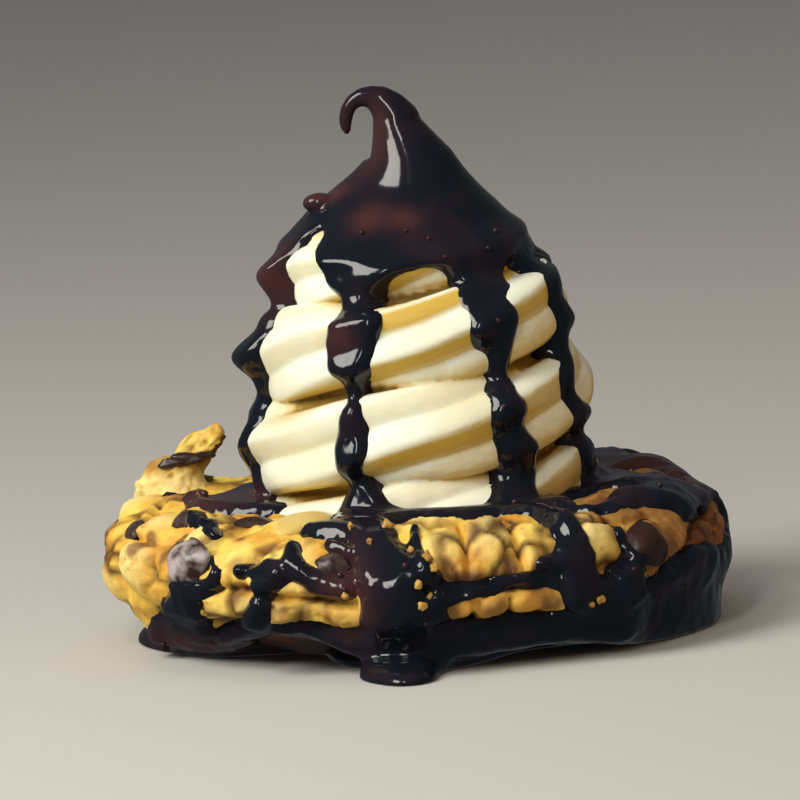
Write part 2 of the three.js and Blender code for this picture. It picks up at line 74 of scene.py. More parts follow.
COOKIE_ROW_STEP = 0.55


def share(i, k):
    """A repeatable number from 0 to 1 for item i of series k."""
    value = math.sin(i * 12.9898 + k * 78.233 + 4.1) * 43758.5453
    return value - math.floor(value)


def near(a, b, w):
    """How near azimuth a is to b: 1 there, fading to 0 over the width w."""
    apart = (a - b + 540) % 360 - 180
    return np.exp(-((apart / w) ** 2))


def ease(x, low, high):
    """0 where x is at low, 1 where it is at high, and a soft step between them."""
    q = np.clip((x - low) / (high - low), 0, 1)
    return q * q * (3 - 2 * q)


def around(azimuth, r, z, centre_x=0.0):
    """The points at an azimuth, a distance from the middle and a height."""
    a = np.radians(azimuth)
    return np.stack(np.broadcast_arrays(centre_x + r * np.sin(a), -r * np.cos(a), z), axis=-1)


lattice = np.random.RandomState(11).uniform(-1, 1, (32, 32, 32)).astype(np.float32)


def rough(points, size):
    """Smooth uneven relief from -1 to 1 whose lumps are size mm across."""
    scaled = np.asarray(points) / size
    cell = np.floor(scaled).astype(int)
    part = scaled - cell
    part = part * part * (3 - 2 * part)
    total = 0
    for corner in np.ndindex(2, 2, 2):
        weight = np.where(np.array(corner) == 1, part, 1 - part).prod(axis=-1)
        i, j, k = np.moveaxis((cell + corner) & 31, -1, 0)
        total = total + weight * lattice[i, j, k]
    return total


def grain(points, size):
    """How deep a point lies in the dent between rounded grains size mm across: 0 on a grain, 1 in a dent."""
    scaled = np.asarray(points) / size
    cell = np.floor(scaled).astype(int)
    first = np.full(scaled.shape[:-1], 9.0)
    second = first.copy()
    for step in np.ndindex(3, 3, 3):
        at = cell + np.array(step) - 1
        i, j, k = np.moveaxis(at & 31, -1, 0)
        jitter = np.stack([lattice[i, j, k], lattice[j, k, i], lattice[k, i, j]], axis=-1)
        away = np.linalg.norm(at + 0.5 + 0.45 * jitter - scaled, axis=-1)
        second = np.minimum(second, np.maximum(first, away))
        first = np.minimum(first, away)
    return 1 - np.clip((second - first) / 0.35, 0, 1)


def cookie_radius(azimuth):
    """The cookie's widest reach. It ran out a little unevenly on the tray."""
    a = np.radians(azimuth)
    return COOKIE_RADIUS + 0.9 * np.sin(2 * a + 0.6) + 0.7 * np.sin(3 * a - 1.1) + 0.5 * np.sin(5 * a + 2)


def cookie_undercut(azimuth):
    """How far the side leans in from its widest height to the foot."""
    return 8 + 14 * near(azimuth, -84, 34) - 6 * near(azimuth, 90, 32)


def cookie_equator(azimuth):
    """The height at which the side is widest."""
    return 15 + 4 * near(azimuth, -80, 40)


def cookie_lift(azimuth):
    """How far the foot curls up off the table."""
    return 7.5 * near(azimuth, -31, 26) + 4 * near(azimuth, 25, 26)


def cookie_side(azimuth, run):
    """A place on the smooth cookie and the way out of it. run is the way up the skin from the foot, in mm:
    the lower side to SIDE_LOW, the upper side to SIDE_HIGH, and then in over the top."""
    low = run < SIDE_LOW
    up = np.clip((run - SIDE_LOW) / (SIDE_HIGH - SIDE_LOW), 0, 1)
    psi = np.where(low, run / SIDE_LOW - 1, up) * np.pi / 2
    equator = cookie_equator(azimuth)
    inset = np.where(low, cookie_undercut(azimuth), COOKIE_SHOULDER) * (1 - np.cos(psi))
    half = np.where(low, equator - cookie_lift(azimuth), COOKIE_HEIGHT - equator)
    r = cookie_radius(azimuth) - inset - np.maximum(run - SIDE_HIGH, 0)
    place = around(azimuth, r, equator + half * np.sin(psi))
    return place, around(azimuth, np.cos(psi), np.sin(psi))


def run_at(psi):
    """The way up the skin at an angle psi of the side, from -90 degrees at the foot to 90 at the top."""
    return SIDE_LOW * (1 + psi / 90) if psi < 0 else SIDE_LOW + (SIDE_HIGH - SIDE_LOW) * psi / 90


def crag_places():
    """Rounded crags of dough: a golden-angle spread over the side and the shoulder."""
    for i in range(CRAG_COUNT):
        azimuth = (i * GOLDEN_ANGLE) % 360
        on_top = i % 4 == 3
        if on_top:
            r = TOP_FLAT_RADIUS + (TOP_RIM_RADIUS - TOP_FLAT_RADIUS) * share(i, 1)
            place = around(azimuth, r, COOKIE_HEIGHT)
        else:
            place = cookie_side(azimuth, run_at(-42 + 124 * share(i, 1)))[0]
        height = (1.6 + 1.9 * share(i, 3)) * (0.7 if on_top else 1)
        yield place, 6.5 + 4.5 * share(i, 2), height


# Lumps that stand out: azimuth, run, width and height
lumps = [
    (-67, 32, 8, 3.2), (-58, 21, 10, 1.6), (-37, 27, 9, 2.0), (-17, 21, 4.5, 1.8), (-25, 16, 6, 2.2),
    (-40, 16, 7, 1.8), (5, 31, 8, 3.0), (14, 31, 8, 2.8), (24, 30, 7, 2.6), (6, 25, 5, 1.8),
    (17, 24.5, 5, 2.0), (6, 16, 5, 2.0), (13, 15.5, 5, 2.2), (21, 16, 5, 2.0), (56, 42, 8, 3.4),
    (60, 32, 8, 3.0), (46, 28, 6, 2.4), (53, 26, 6, 2.2), (66, 24, 7, 2.4), (78, 23, 7, 2.4),
    (93, 38, 8, 2.6), (-90, 24, 10, 1.8), (-96, 38, 8, 2.2),
]
# Cracks between the lumps: the two ends as azimuth and run, then width and depth
cracks = [
    (-76, 28, -60, 27, 0.8, 1.8), (-60, 27, -53, 33, 0.8, 1.6), (-104, 36, -97, 41, 0.9, 1.8),
    (-80, 27, -78, 34, 0.9, 1.5), (-78, 34, -96, 36, 0.7, 1.4), (-34, 20.5, -12, 19, 1.0, 2.2),
    (-46, 19, -34, 20.5, 0.9, 1.8), (0, 21.5, 26, 21.5, 1.6, 2.8), (9.5, 24, 10, 36, 0.7, 1.4),
    (19.5, 24, 20, 36, 0.8, 1.8), (38, 31, 52, 30, 1.0, 1.8), (53, 20, 68, 28, 1.0, 1.8),
    (68, 28, 84, 27, 1.0, 1.8), (70, 33, 80, 40, 1.0, 1.6), (-50, 34, -38, 36, 0.7, 1.0),
    (-34, 24, -30, 33, 0.6, 0.8), (10, 13, 10.5, 18, 0.7, 1.4), (16.5, 12, 17, 18, 0.7, 1.4),
]


def line_gap(azimuth, run, a, b, spread):
    """How far a point lies from the line between two ends, in mm, and how far along the line it is."""
    across = ((azimuth - a[0] + 540) % 360 - 180) * spread
    up = run - a[1]
    end = np.array([((b[0] - a[0] + 540) % 360 - 180) * spread, b[1] - a[1]])
    part = np.clip((across * end[0] + up * end[1]) / max(end @ end, 1e-6), 0, 1)
    return np.hypot(across - part * end[0], up - part * end[1]), part


def cookie_relief(azimuth, run, place):
    """How far the crags, lumps, cracks and the crevice move the skin outwards."""
    height = np.zeros(place.shape[:-1])
    bumps = list(crag_places())
    bumps += [(cookie_side(a, t)[0], width, 0.85 * rise) for a, t, width, rise in lumps]
    for at, width, rise in bumps:
        away = ((place - at) ** 2).sum(axis=-1) / width**2
        height = np.maximum(height, rise * (1 - away))
    r = np.hypot(place[..., 0], place[..., 1])
    height = height * np.where(run > SIDE_HIGH, ease(r, TOP_FLAT_RADIUS, TOP_RIM_RADIUS - 2), 1)
    reach = 0.35 + 0.65 * near(azimuth, 10, 55) + 0.4 * near(azimuth, 170, 50)
    height -= CREVICE_DEPTH * reach * np.exp(-(((place[..., 2] - CREVICE_HEIGHT) / CREVICE_WIDTH) ** 2))
    for azimuth_0, run_0, azimuth_1, run_1, width, depth in cracks:
        gap = line_gap(azimuth, run, (azimuth_0, run_0), (azimuth_1, run_1), 1.0)[0]
        height -= depth * np.exp(-(((gap + 0.5 * rough(place, 2.5)) / width) ** 2))
    return height * ease(run, 1.1, 10)


def crumb_relief(place):
    """The crust's relief of shallow broken dents, small lumps, crumbs and pores, and how deep each point
    lies between them."""
    broken = place + 1.8 * np.stack([rough(place + k * 40, DENT_SIZE / 2) for k in range(3)], axis=-1)
    seams = grain(broken, DENT_SIZE) * ease(rough(place + 23, 11), -0.35, 0.35)
    crumbs = grain(place + 7 + 0.5 * rough(place, 2)[..., None], CRUMB_SIZE)
    soft = rough(place, SMALL_LUMP_SIZE)
    fine = rough(place, 1.1)
    pores = np.clip(rough(place + 90, PORE_SIZE) - 0.45, 0, 1)
    patchy = ease(rough(place + 61, 8), -0.5, 0.4)
    relief = 0.45 * soft - 0.85 * seams**2 - 0.34 * crumbs * patchy + 0.2 * fine - 1.3 * pores * patchy
    return relief, np.clip(seams + 0.5 * crumbs * patchy * ease(rough(place + 5, 7), 0, 0.5), 0, 1)


def ring_faces(rows, columns):
    """The faces of rows of points that each close on themselves, and of the two ends."""
    i = np.arange(columns)
    j = (i + 1) % columns
    first = np.arange(rows - 1)[:, None] * columns
    quads = np.stack([first + i, first + j, first + columns + j, first + columns + i], axis=-1)
    top = (rows - 1) * columns
    return quads.reshape(-1, 4).tolist() + [list(range(columns))[::-1], list(range(top, top + columns))]


def new_piece(name, points, faces, **values):
    """A smooth mesh object from points in mm, with values for each point that its material reads. Grains of
    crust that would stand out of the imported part's box by a fraction of a mm are pressed back into it."""
    mesh = bpy.data.meshes.new(name)
    points = np.clip(np.reshape(points, (-1, 3)) * 0.001, *(np.array(corner) for corner in cad_box))
    mesh.from_pydata(points.tolist(), [], faces)
    mesh.shade_smooth()
    for value_name, numbers in values.items():
        held = mesh.attributes.new(value_name, "FLOAT", "POINT")
        held.data.foreach_set("value", np.clip(numbers, 0, 1).astype(np.float32).ravel())
    piece = bpy.data.objects.new(name, mesh)
    bpy.context.scene.collection.objects.link(piece)
    return piece


def browning_and_painted_shade(azimuth, run, place):
    """The share of brown. The right of the cookie, away from the window light, is made browner: painted
    shade.
    The lower lip took more of the oven's heat, and toasted streaks run down from the upper lip."""
    turned = (azimuth + 180) % 360 - 180
    # Painted shade: the right of the cookie, away from the window light, is made browner.
    right = ease(turned, 34, 50) * ease(turned, 175, 120)
    streaks = ease(rough(place * [1, 1, 0.12] + 9, 2.6) + 0.45 * rough(place, 5), -0.25, 0.2)
    under_lip = near(azimuth, 16, 22) * ease(run, 27.5, 23.5) * ease(run, 18, 21)
    lower_lip = 0.85 * near(azimuth, 16, 26) * ease(run, 21, 18) * ease(rough(place + 3, 3), -0.5, 0.6)
    patches = 0.8 * ease(rough(place + 14, 6) + 0.5 * rough(place + 44, 2.5), 0.28, 0.7)
    return np.clip(0.85 * right + under_lip * streaks + lower_lip + patches + ease(run, 4, 1), 0, 1)


def cookie_piece():
    """The cookie: rows of points up its side and in over the top, wider apart where the cream hides them,
    and its flat underside."""
    turn = np.arange(COOKIE_COLUMNS) * 360 / COOKIE_COLUMNS
    shown, hidden = np.arange(0, 58, COOKIE_ROW_STEP), np.arange(60, 82, 3)
    rows = np.concatenate([shown, hidden])
    run, azimuth = np.meshgrid(rows, turn, indexing="ij")
    place, out = cookie_side(azimuth, run)
    relief = cookie_relief(azimuth, run, place)
    detail, seams = crumb_relief(place + relief[..., None] * out)
    points = place + (relief + detail * ease(run, 0.5, 4))[..., None] * out
    points[..., 2] = np.maximum(points[..., 2], 0)
    under = np.array([around(turn, r, 0.0 * turn) for r in (2.0, 18.0, 32.0)])
    points = np.concatenate([under, points])
    # The dough paints dent dark, a painted shade, in dents and cracks and over the whole underside, which is
    # also browned; it paints raised crust paler, a painted highlight.
    flat = np.ones((3, COOKIE_COLUMNS))
    dent = np.concatenate([flat, np.clip(-(relief + detail) / 1.9, 0, 1) + 0.9 * seams])
    raised = np.concatenate([0 * flat, (relief + detail) / 4])
    brown = np.concatenate([flat, browning_and_painted_shade(azimuth, run, place)])
    faces = ring_faces(len(points), COOKIE_COLUMNS)
    return new_piece("cookie_dough", points, faces, dent=dent, raised=raised, brown=brown)


# The raised flake of crust at the back left, torn up from the rim and leaning in over the top. Each level
# has its height, the middle's x, and its half length and half width.
flake_levels = [
    (20, -45, 7.5, 6), (25, -46, 7.6, 5.6), (28.2, -46.6, 6.8, 4.6), (31, -44.2, 6.6, 4.2),
    (32.6, -42.3, 6.3, 4), (33.2, -40.4, 4.9, 3.6), (35.2, -39.1, 4.9, 3), (37.1, -38.3, 2.7, 1.8),
    (38.1, -37.4, 0.7, 0.6),
]
FLAKE_Y = 20
FLAKE_ROWS = 44
FLAKE_COLUMNS = 96
# Where the flake's face is broken and toasted
FLAKE_BREAK = 32


def flake_piece():
    """The flake: rings of points from its root in the cookie up to its ragged tip."""
    levels = np.array(flake_levels)
    heights = np.linspace(levels[0, 0], levels[-1, 0], FLAKE_ROWS)
    middle_x, along, across = (np.interp(heights, levels[:, 0], levels[:, k]) for k in (1, 2, 3))
    angle = np.radians(np.arange(FLAKE_COLUMNS) * 360 / FLAKE_COLUMNS)
    ring_x, ring_y = along[:, None] * np.cos(angle), across[:, None] * np.sin(angle)
    ring = np.stack([ring_x, ring_y, 0 * ring_x], axis=-1)
    middle = np.stack([middle_x, 0 * heights + FLAKE_Y, heights], axis=-1)[:, None, :]
    points = middle + ring
    way = ring / np.linalg.norm(ring, axis=-1, keepdims=True)
    detail, seams = crumb_relief(points)
    shown = ease(heights, 38.8, 35)[:, None]
    points = points + ((detail + 0.9 * rough(points + 5, 4.5)) * shown)[..., None] * way
    broken_edge = 0.8 * rough(points, 3) + 0.1 * ring_x
    points[..., 2] += broken_edge * ease(heights, 27, 31)[:, None]
    # The dough paints dent dark and raised pale: painted shade and painted highlight. The lower slab is made
    # paler.
    dent = np.clip(-detail / 2 + 0.6 * seams, 0, 1)
    faces = ring_faces(FLAKE_ROWS, FLAKE_COLUMNS)
    brown = 0.8 * near(heights, FLAKE_BREAK, 1.4)[:, None] + 0 * dent
    raised = 0.4 + 0.3 * detail + 0.5 * ease(heights, 31, 29)[:, None]
    return new_piece("cookie_flake", points, faces, dent=dent, raised=raised, brown=brown)


def linear(code):
    """An sRGB hex colour as the linear colour that a shader takes."""
    levels = [int(code[i : i + 2], 16) / 255 for i in (1, 3, 5)]
    return tuple(v / 12.92 if v < 0.04045 else ((v + 0.055) / 1.055) ** 2.4 for v in levels) + (1.0,)


def add_node(tree, kind, inputs=(), output=None, **settings):
    """Adds a node with its settings, sets its inputs or links them, and returns the output that is asked
    for, or else the first one in use."""
    node = tree.nodes.new(kind)
    for name, value in settings.items():
        setattr(node, name, value)
    for socket, value in dict(inputs).items():
        if isinstance(value, bpy.types.NodeSocket):
            tree.links.new(value, node.inputs[socket])
        else:
            node.inputs[socket].default_value = value
    if output:
        return node.outputs[output]
    return next((socket for socket in node.outputs if socket.enabled), None)


def new_material(name):
    """An empty material and its node tree."""
    material = bpy.data.materials.new(name)
    material.use_nodes = True
    material.node_tree.nodes.clear()
    return material, material.node_tree


def per_metre(size):
    """How often a pattern whose marks are size mm across comes in a metre, which is its scale."""
    return 1000 / size


# Baked butter dough: a dry golden crust with a little light let through, as sugar and butter do. Crust that
# stands out is painted paler, a painted highlight, and dents are painted dark, a painted shade. Browning
# runs in patches 9 mm wide, with sugar specks 2.6 mm apart. Its crumbs are finer than half a millimetre, so
# they are drawn 1.1 mm wide to show.
def baked_dough():
    material, tree = new_material("baked_butter_dough")
    place = add_node(tree, "ShaderNodeTexCoord", output="Object")
    dent, raised, brown = (
        add_node(tree, "ShaderNodeAttribute", output="Fac", attribute_name=name)
        for name in ("dent", "raised", "brown")
    )
    patches = add_node(tree, "ShaderNodeTexNoise", {"Vector": place, "Scale": per_metre(9.1), "Detail": 3})
    patch_part = add_node(tree, "ShaderNodeMapRange", {0: patches, 1: 0.38, 2: 0.62})
    gold = add_node(
        tree,
        "ShaderNodeMix",
        {0: patch_part, 6: linear("#dea038"), 7: linear("#f3ce5a")},
        data_type="RGBA",
    )
    # Painted highlight: crust that stands out is made paler.
    painted_highlight_part = add_node(tree, "ShaderNodeMapRange", {0: raised, 1: 0.3, 2: 0.9, 3: 0.0, 4: 0.75})
    pale = add_node(tree, "ShaderNodeMix", {0: painted_highlight_part, 6: gold, 7: linear("#fbea9f")}, data_type="RGBA")
    brown_crust = add_node(
        tree,
        "ShaderNodeMix",
        {0: patch_part, 6: linear("#4f2c1e"), 7: linear("#9a5c2a")},
        data_type="RGBA",
    )
    toasted = add_node(tree, "ShaderNodeMix", {0: brown, 6: pale, 7: brown_crust}, data_type="RGBA")
    # Painted shade: dents, cracks and the underside are made dark.
    painted_crevice_shade = add_node(tree, "ShaderNodeMapRange", {0: dent, 1: 0.2, 2: 0.85, 3: 0.0, 4: 0.92})
    baked = add_node(
        tree,
        "ShaderNodeMix",
        {0: painted_crevice_shade, 6: toasted, 7: linear("#54330f")},
        data_type="RGBA",
    )
    specks = add_node(tree, "ShaderNodeTexVoronoi", {"Vector": place, "Scale": per_metre(2.63)})
    speck_part = add_node(tree, "ShaderNodeMapRange", {0: specks, 1: 0.08, 2: 0.2, 3: 0.5, 4: 0.0})
    flecked = add_node(
        tree,
        "ShaderNodeMix",
        {0: speck_part, 6: baked, 7: linear("#b97a2c")},
        data_type="RGBA",
    )
    crumbs = add_node(
        tree,
        "ShaderNodeTexNoise",
        {"Vector": place, "Scale": per_metre(1.11), "Detail": 4, "Roughness": 0.6},
    )
    bump = add_node(tree, "ShaderNodeBump", {"Height": crumbs, "Strength": 0.5, "Distance": 0.0004})
    crust = add_node(
        tree,
        "ShaderNodeBsdfPrincipled",
        {
            "Base Color": flecked,
            "Roughness": 0.6,
            "IOR": 1.45,
            "Subsurface Weight": 0.12,
            "Subsurface Radius": (1.0, 0.6, 0.25),
            "Subsurface Scale": 0.0012,
            "Normal": bump,
        },
    )
    add_node(tree, "ShaderNodeOutputMaterial", {"Surface": crust})
    return material


dough = baked_dough()
for piece in (cookie_piece(), flake_piece()):
    piece.data.materials.append(dough)
    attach(piece, "root")
    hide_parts("cookie")

# The chocolate chips
# Large dark baking chips, pushed into the dough before it was baked. They have softened to rounded drops
# that are sunk by more than half, and their skin is satin with a pale bloom.
CHIP_ROWS = 24
CHIP_COLUMNS = 48
# Chips that show from the front. psi is the angle of the side and r the distance from the middle of the top.
chips = [
    {"azimuth": -49, "psi": 20, "width": 5.4, "long": 5.8},
    {"azimuth": -60, "psi": 74, "width": 3.3, "long": 4.8},
    {"azimuth": -77, "psi": 42, "width": 2.8, "long": 3.4},
    {"azimuth": -43, "r": 43, "width": 2.9, "long": 6},
    {"azimuth": 47, "psi": 24, "width": 4.6, "long": 5.6},
    {"azimuth": -17, "psi": 30, "width": 3, "long": 4},
    {"azimuth": -96, "psi": 8, "width": 3.8, "long": 4.6},
]
# More chips go on round the sides, high and low by turns
for i in range(7):
    psi = -5 + 30 * share(i, 61) if i % 2 else 42 + 24 * share(i, 61)
    width, long = 3.2 + 1.6 * share(i, 62), 4 + 1.6 * share(i, 63)
    chips.append({"azimuth": 82 + i * 25 + 8 * share(i, 60), "psi": psi, "width": width, "long": long})


def chip_run(chip):
    """A chip's way up the skin, from its angle on the side or its distance from the middle of the top."""
    if "r" in chip:
        return SIDE_HIGH + cookie_radius(chip["azimuth"]) - COOKIE_SHOULDER - chip["r"]
    return run_at(chip["psi"])


def chip_points(chip, index):
    """A drop with a domed, dented top, set on the dough's skin."""
    azimuth, run = chip["azimuth"], chip_run(chip)
    place, out = cookie_side(azimuth, run)
    place = place + cookie_relief(np.array(azimuth), np.array(run), place) * out
    side = around(azimuth + 90, 1, 0)
    rise = np.cross(out, side)
    latitude = np.radians(np.linspace(-88, 88, CHIP_ROWS))[:, None]
    angle = np.radians(np.arange(CHIP_COLUMNS) * 360 / CHIP_COLUMNS)[None, :]
    bulges = 1 + 0.07 * np.sin(3 * angle + index) + 0.05 * np.sin(5 * angle - index)
    level = np.cos(latitude) ** 0.75 * bulges
    stand = 0.55 * chip["width"] * np.sin(latitude) ** 3 - 0.12 * chip["width"]
    points = (
        place
        + (stand + 0 * angle)[..., None] * out
        + (chip["long"] * level * np.cos(angle))[..., None] * side
        + (chip["width"] * level * np.sin(angle))[..., None] * rise
    )
    wrinkle = 0.35 * rough(points + 17 * index, 3) + 0.12 * rough(points, 1.3)
    return points + wrinkle[..., None] * out


def chips_piece():
    """All the chips as one piece. The first, which lies bare at the front, has the most bloom, and its pale
    top
    also stands in for a sheen: painted sheen.
    """
    points = np.array([chip_points(chip, index) for index, chip in enumerate(chips)])
    step = CHIP_ROWS * CHIP_COLUMNS
    one = ring_faces(CHIP_ROWS, CHIP_COLUMNS)
    faces = [[corner + step * index for corner in face] for index in range(len(chips)) for face in one]
    middle = ease(np.arange(CHIP_ROWS), CHIP_ROWS * 0.55, CHIP_ROWS * 0.72)
    # The front chip's pale top is bloom and a painted sheen.
    bloom = np.repeat([1.0, 0.1, 0.1, 0.0, 0.0] + [0.15] * (len(chips) - 5), step)
    bloom = bloom * np.tile(np.repeat(middle, CHIP_COLUMNS), len(chips))
    return new_piece("chocolate_chips", points, faces, bloom=bloom)


BIT_ROWS = 12
BIT_COLUMNS = 20


def bits_piece(name, places, unevenness, **values):
    """Small rounded bits. Each place has the middle and the three half widths."""
    latitude = np.radians(np.linspace(-86, 86, BIT_ROWS))[:, None]
    angle = np.radians(np.arange(BIT_COLUMNS) * 360 / BIT_COLUMNS)[None, :]
    level = np.cos(latitude)
    sides = level * np.cos(angle), level * np.sin(angle), np.sin(latitude)
    ball = np.stack(np.broadcast_arrays(*sides), axis=-1)
    points = []
    for x, y, z, wide, deep, high in places:
        uneven = 1 + unevenness * rough(1.4 * ball + [x, y, z], 1)[..., None]
        points.append(ball * uneven * [wide, deep, high] + [x, y, z])
    step = BIT_ROWS * BIT_COLUMNS
    one = ring_faces(BIT_ROWS, BIT_COLUMNS)
    faces = [[corner + step * index for corner in face] for index in range(len(places)) for face in one]
    held = {key: np.full(step * len(places), value) for key, value in values.items()}
    return new_piece(name, points, faces, **held)


# Tempered dark chocolate, softened in the oven and set again: brown-black and satin, with patches of
# greyish bloom 3.3 mm wide and fine pits, drawn 0.9 mm wide to show. On the front chip's top the pale
# patches are bloom and a painted sheen.
def chip_chocolate():
    material, tree = new_material("dark_chocolate_with_bloom")
    place = add_node(tree, "ShaderNodeTexCoord", output="Object")
    bloom = add_node(tree, "ShaderNodeAttribute", output="Fac", attribute_name="bloom")
    patches = add_node(tree, "ShaderNodeTexNoise", {"Vector": place, "Scale": per_metre(3.33), "Detail": 3})
    patch_part = add_node(tree, "ShaderNodeMapRange", {0: patches, 1: 0.36, 2: 0.62})
    bloom_and_sheen_part = add_node(tree, "ShaderNodeMath", {0: patch_part, 1: bloom}, operation="MULTIPLY")
    colour = add_node(
        tree,
        "ShaderNodeMix",
        {0: bloom_and_sheen_part, 6: linear("#34201b"), 7: linear("#b5a7a6")},
        data_type="RGBA",
    )
    pits = add_node(tree, "ShaderNodeTexNoise", {"Vector": place, "Scale": per_metre(0.91), "Detail": 2})
    bump = add_node(tree, "ShaderNodeBump", {"Height": pits, "Strength": 0.3, "Distance": 0.0003})
    chocolate = add_node(
        tree,
        "ShaderNodeBsdfPrincipled",
        {"Base Color": colour, "Roughness": 0.35, "IOR": 1.47, "Normal": bump},
    )
    add_node(tree, "ShaderNodeOutputMaterial", {"Surface": chocolate})
    return material


# A long chip shows in the broken face of the raised flake
flake_chip_places = [
    (-45.4, 16.6, 31.6, 3.0, 1.1, 0.9), (-42.4, 16.5, 32.2, 3.4, 1.3, 1.4), (-39.6, 17, 33, 2, 1, 0.8),
]
dark_chip = chip_chocolate()
chips_object = chips_piece()
flake_chip = bits_piece("flake_chip", flake_chip_places, 0.5, bloom=0)
for piece in (chips_object, flake_chip):
    piece.data.materials.append(dark_chip)
    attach(piece, "root")
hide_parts(*[f"chip_{i + 1:02d}" for i in range(len(chips))])

# The soft serve
# Vanilla soft ice cream, pressed through a star nozzle into a rope that is coiled upwards on the cookie.
# The star's points leave sharp pleats that climb the rope. The last turn is drawn up into the tip.
SWIRL_X = 2.5
SWIRL_REACH = 33.6
FIRST_TURN_HEIGHT = 22.5
ROPE_PITCH = 18.9
ROPE_SQUEEZE = 0.75
ROPE_HALF_WIDTH = 10.6
ROPE_TURNS = 3.45
ROPE_SQUARENESS = 2.7
STAR_DEPTH = 0.2
STAR_TWIST = 240
CROWN_HEIGHT = 83
CAP_DEPTH = 1.8
SHELF_RADIUS = 11.5
SHELF_SLOPE = 0.75
CREAM_STEP = 0.46
# The lobe of melted cream at the foot: the way it runs, how far out its middle lies, and its half length,
# half width and height. It joins the lowest turn alone.
MELT_AZIMUTH = -33
MELT_DISTANCE = 38
MELT_SIZE = (9.5, 5.8, 2.4)
LOWEST_TURN_TOP = 30


def rope_height(t):
    """The height of the rope's middle after t turns. Each turn is a little lower than the one before."""
    return FIRST_TURN_HEIGHT + ROPE_PITCH * t - ROPE_SQUEEZE * t * t


def shelf_top(azimuth):
    """The height of the cap of sauce at SHELF_RADIUS from the middle. It slopes down from there outwards."""
    a = np.radians(azimuth)
    return 82.5 + 2.25 - 1.5 * np.cos(a) - 1.0 * np.sin(a) - 0.75 * np.cos(2 * a)


def rope_gap(azimuth, r, z, turn):
    """How far a point lies outside one turn of the rope, whose section is a squarish oval with six pleats,
    and where it lies between them: 0 on a ridge, down to -1 in the valley below, up to 1 in the other."""
    t = azimuth / 360 + turn
    taper = 1 - 0.55 * ease(t, 2.85, ROPE_TURNS)
    half_height = 0.58 * (ROPE_PITCH - 2 * ROPE_SQUEEZE * t) * taper
    half_width = (ROPE_HALF_WIDTH - 0.4 * t) * taper
    reach = SWIRL_REACH - 0.4 * np.maximum(t, 0) ** 3
    u = (r - reach + half_width) / half_width
    v = (z - rope_height(t)) / half_height
    from_middle = np.hypot(u, v) + 1e-6
    corner = np.abs(u / from_middle) ** ROPE_SQUARENESS + np.abs(v / from_middle) ** ROPE_SQUARENESS
    turned = 3 * (np.arctan2(v, u) / np.pi - STAR_TWIST * t / 180)
    part = 2 * (turned - np.round(turned))
    size = corner ** (-1 / ROPE_SQUARENESS) * (1.03 - STAR_DEPTH * np.sqrt(part**2 + 0.012))
    gap = np.hypot(u * half_width, v * half_height) * (1 - size / from_middle)
    return np.where((t < -0.6) | (t > 3.3), 99, gap), part


def swirl_field(azimuth, r, z):
    """Below 0 inside the swirl: the rope's turns, the filled middle and the crown under the cap of sauce."""
    field = np.full(np.broadcast(azimuth, r, z).shape, 99.0, np.float32)
    for turn in range(-1, 4):
        field = np.minimum(field, rope_gap(azimuth, r, z, turn)[0])
    core = r - np.interp(z, [22, 58, 70, 78, 82, 82.1], [20, 20, 17.5, 13, 8, -99])
    crown = np.where((z > 60) & (z < CROWN_HEIGHT), r - 20.5, 99)
    under_cap = 0.8 * (z - shelf_top(azimuth) + CAP_DEPTH + SHELF_SLOPE * (r - SHELF_RADIUS))
    return np.maximum(np.minimum(np.minimum(field, core), crown), under_cap)


def axes_of(low, high, step):
    """The lines of a grid along x, y and z."""
    return [np.arange(a, b + step, step) for a, b in zip(low, high)]


def skin_of(field, low, step):
    """The surface where a field on a grid passes zero: a point in each cell that it crosses, and a face
    over each crossed edge."""
    flat = field.ravel()
    strides = np.array([field.shape[1] * field.shape[2], field.shape[2], 1])
    index = np.arange(field.size).reshape(field.shape)
    cells, places = [], []
    for axis in range(3):
        start = index[1:-1, 1:-1, 1:-1].ravel()
        end = start + strides[axis]
        crossing = (flat[start] < 0) != (flat[end] < 0)
        start, end = start[crossing], end[crossing]
        place = np.stack(np.unravel_index(start, field.shape), axis=-1).astype(float)
        place[:, axis] += flat[start] / (flat[start] - flat[end])
        u, v = strides[(axis + 1) % 3], strides[(axis + 2) % 3]
        quad = np.stack([start, start - u, start - u - v, start - v], axis=-1)
        inward = flat[start] >= 0
        quad[inward] = quad[inward, ::-1]
        cells.append(quad)
        places.append(np.repeat(place, 4, axis=0))
    cells, places = np.concatenate(cells), np.concatenate(places)
    faces = np.unique(cells.ravel(), return_inverse=True)[1]
    count = np.bincount(faces)
    points = np.stack([np.bincount(faces, weights=places[:, k]) / count for k in range(3)], axis=-1)
    return np.array(low) + step * points, faces.reshape(-1, 4).tolist()


# The swirl's outer radius is kept by azimuth, a degree a row, and height, half a millimetre a column
TABLE_LOW = 24
TABLE_HIGH = 83
TABLE_STEP = 0.5
table_levels = np.arange(TABLE_LOW, TABLE_HIGH, TABLE_STEP)
table_azimuth, table_z = np.meshgrid(np.arange(360.0), table_levels, indexing="ij")
REACH_STEP = 0.25
# A table's entries are about this far apart on the swirl's skin
TABLE_CELL = 0.53


def swirl_reach_table():
    """The swirl's outer radius: the last point on each way out that is still inside it."""
    r = np.arange(8, 37, REACH_STEP)
    field = swirl_field(table_azimuth[..., None], r, table_z[..., None])
    last = len(r) - 1 - np.argmax(field[:, :, ::-1] < 0, axis=2)
    inner = np.take_along_axis(field, last[..., None], 2)[..., 0]
    outer = np.take_along_axis(field, np.minimum(last + 1, len(r) - 1)[..., None], 2)[..., 0]
    return r[last] + REACH_STEP * np.clip(inner / (inner - outer + 1e-6), 0, 1)


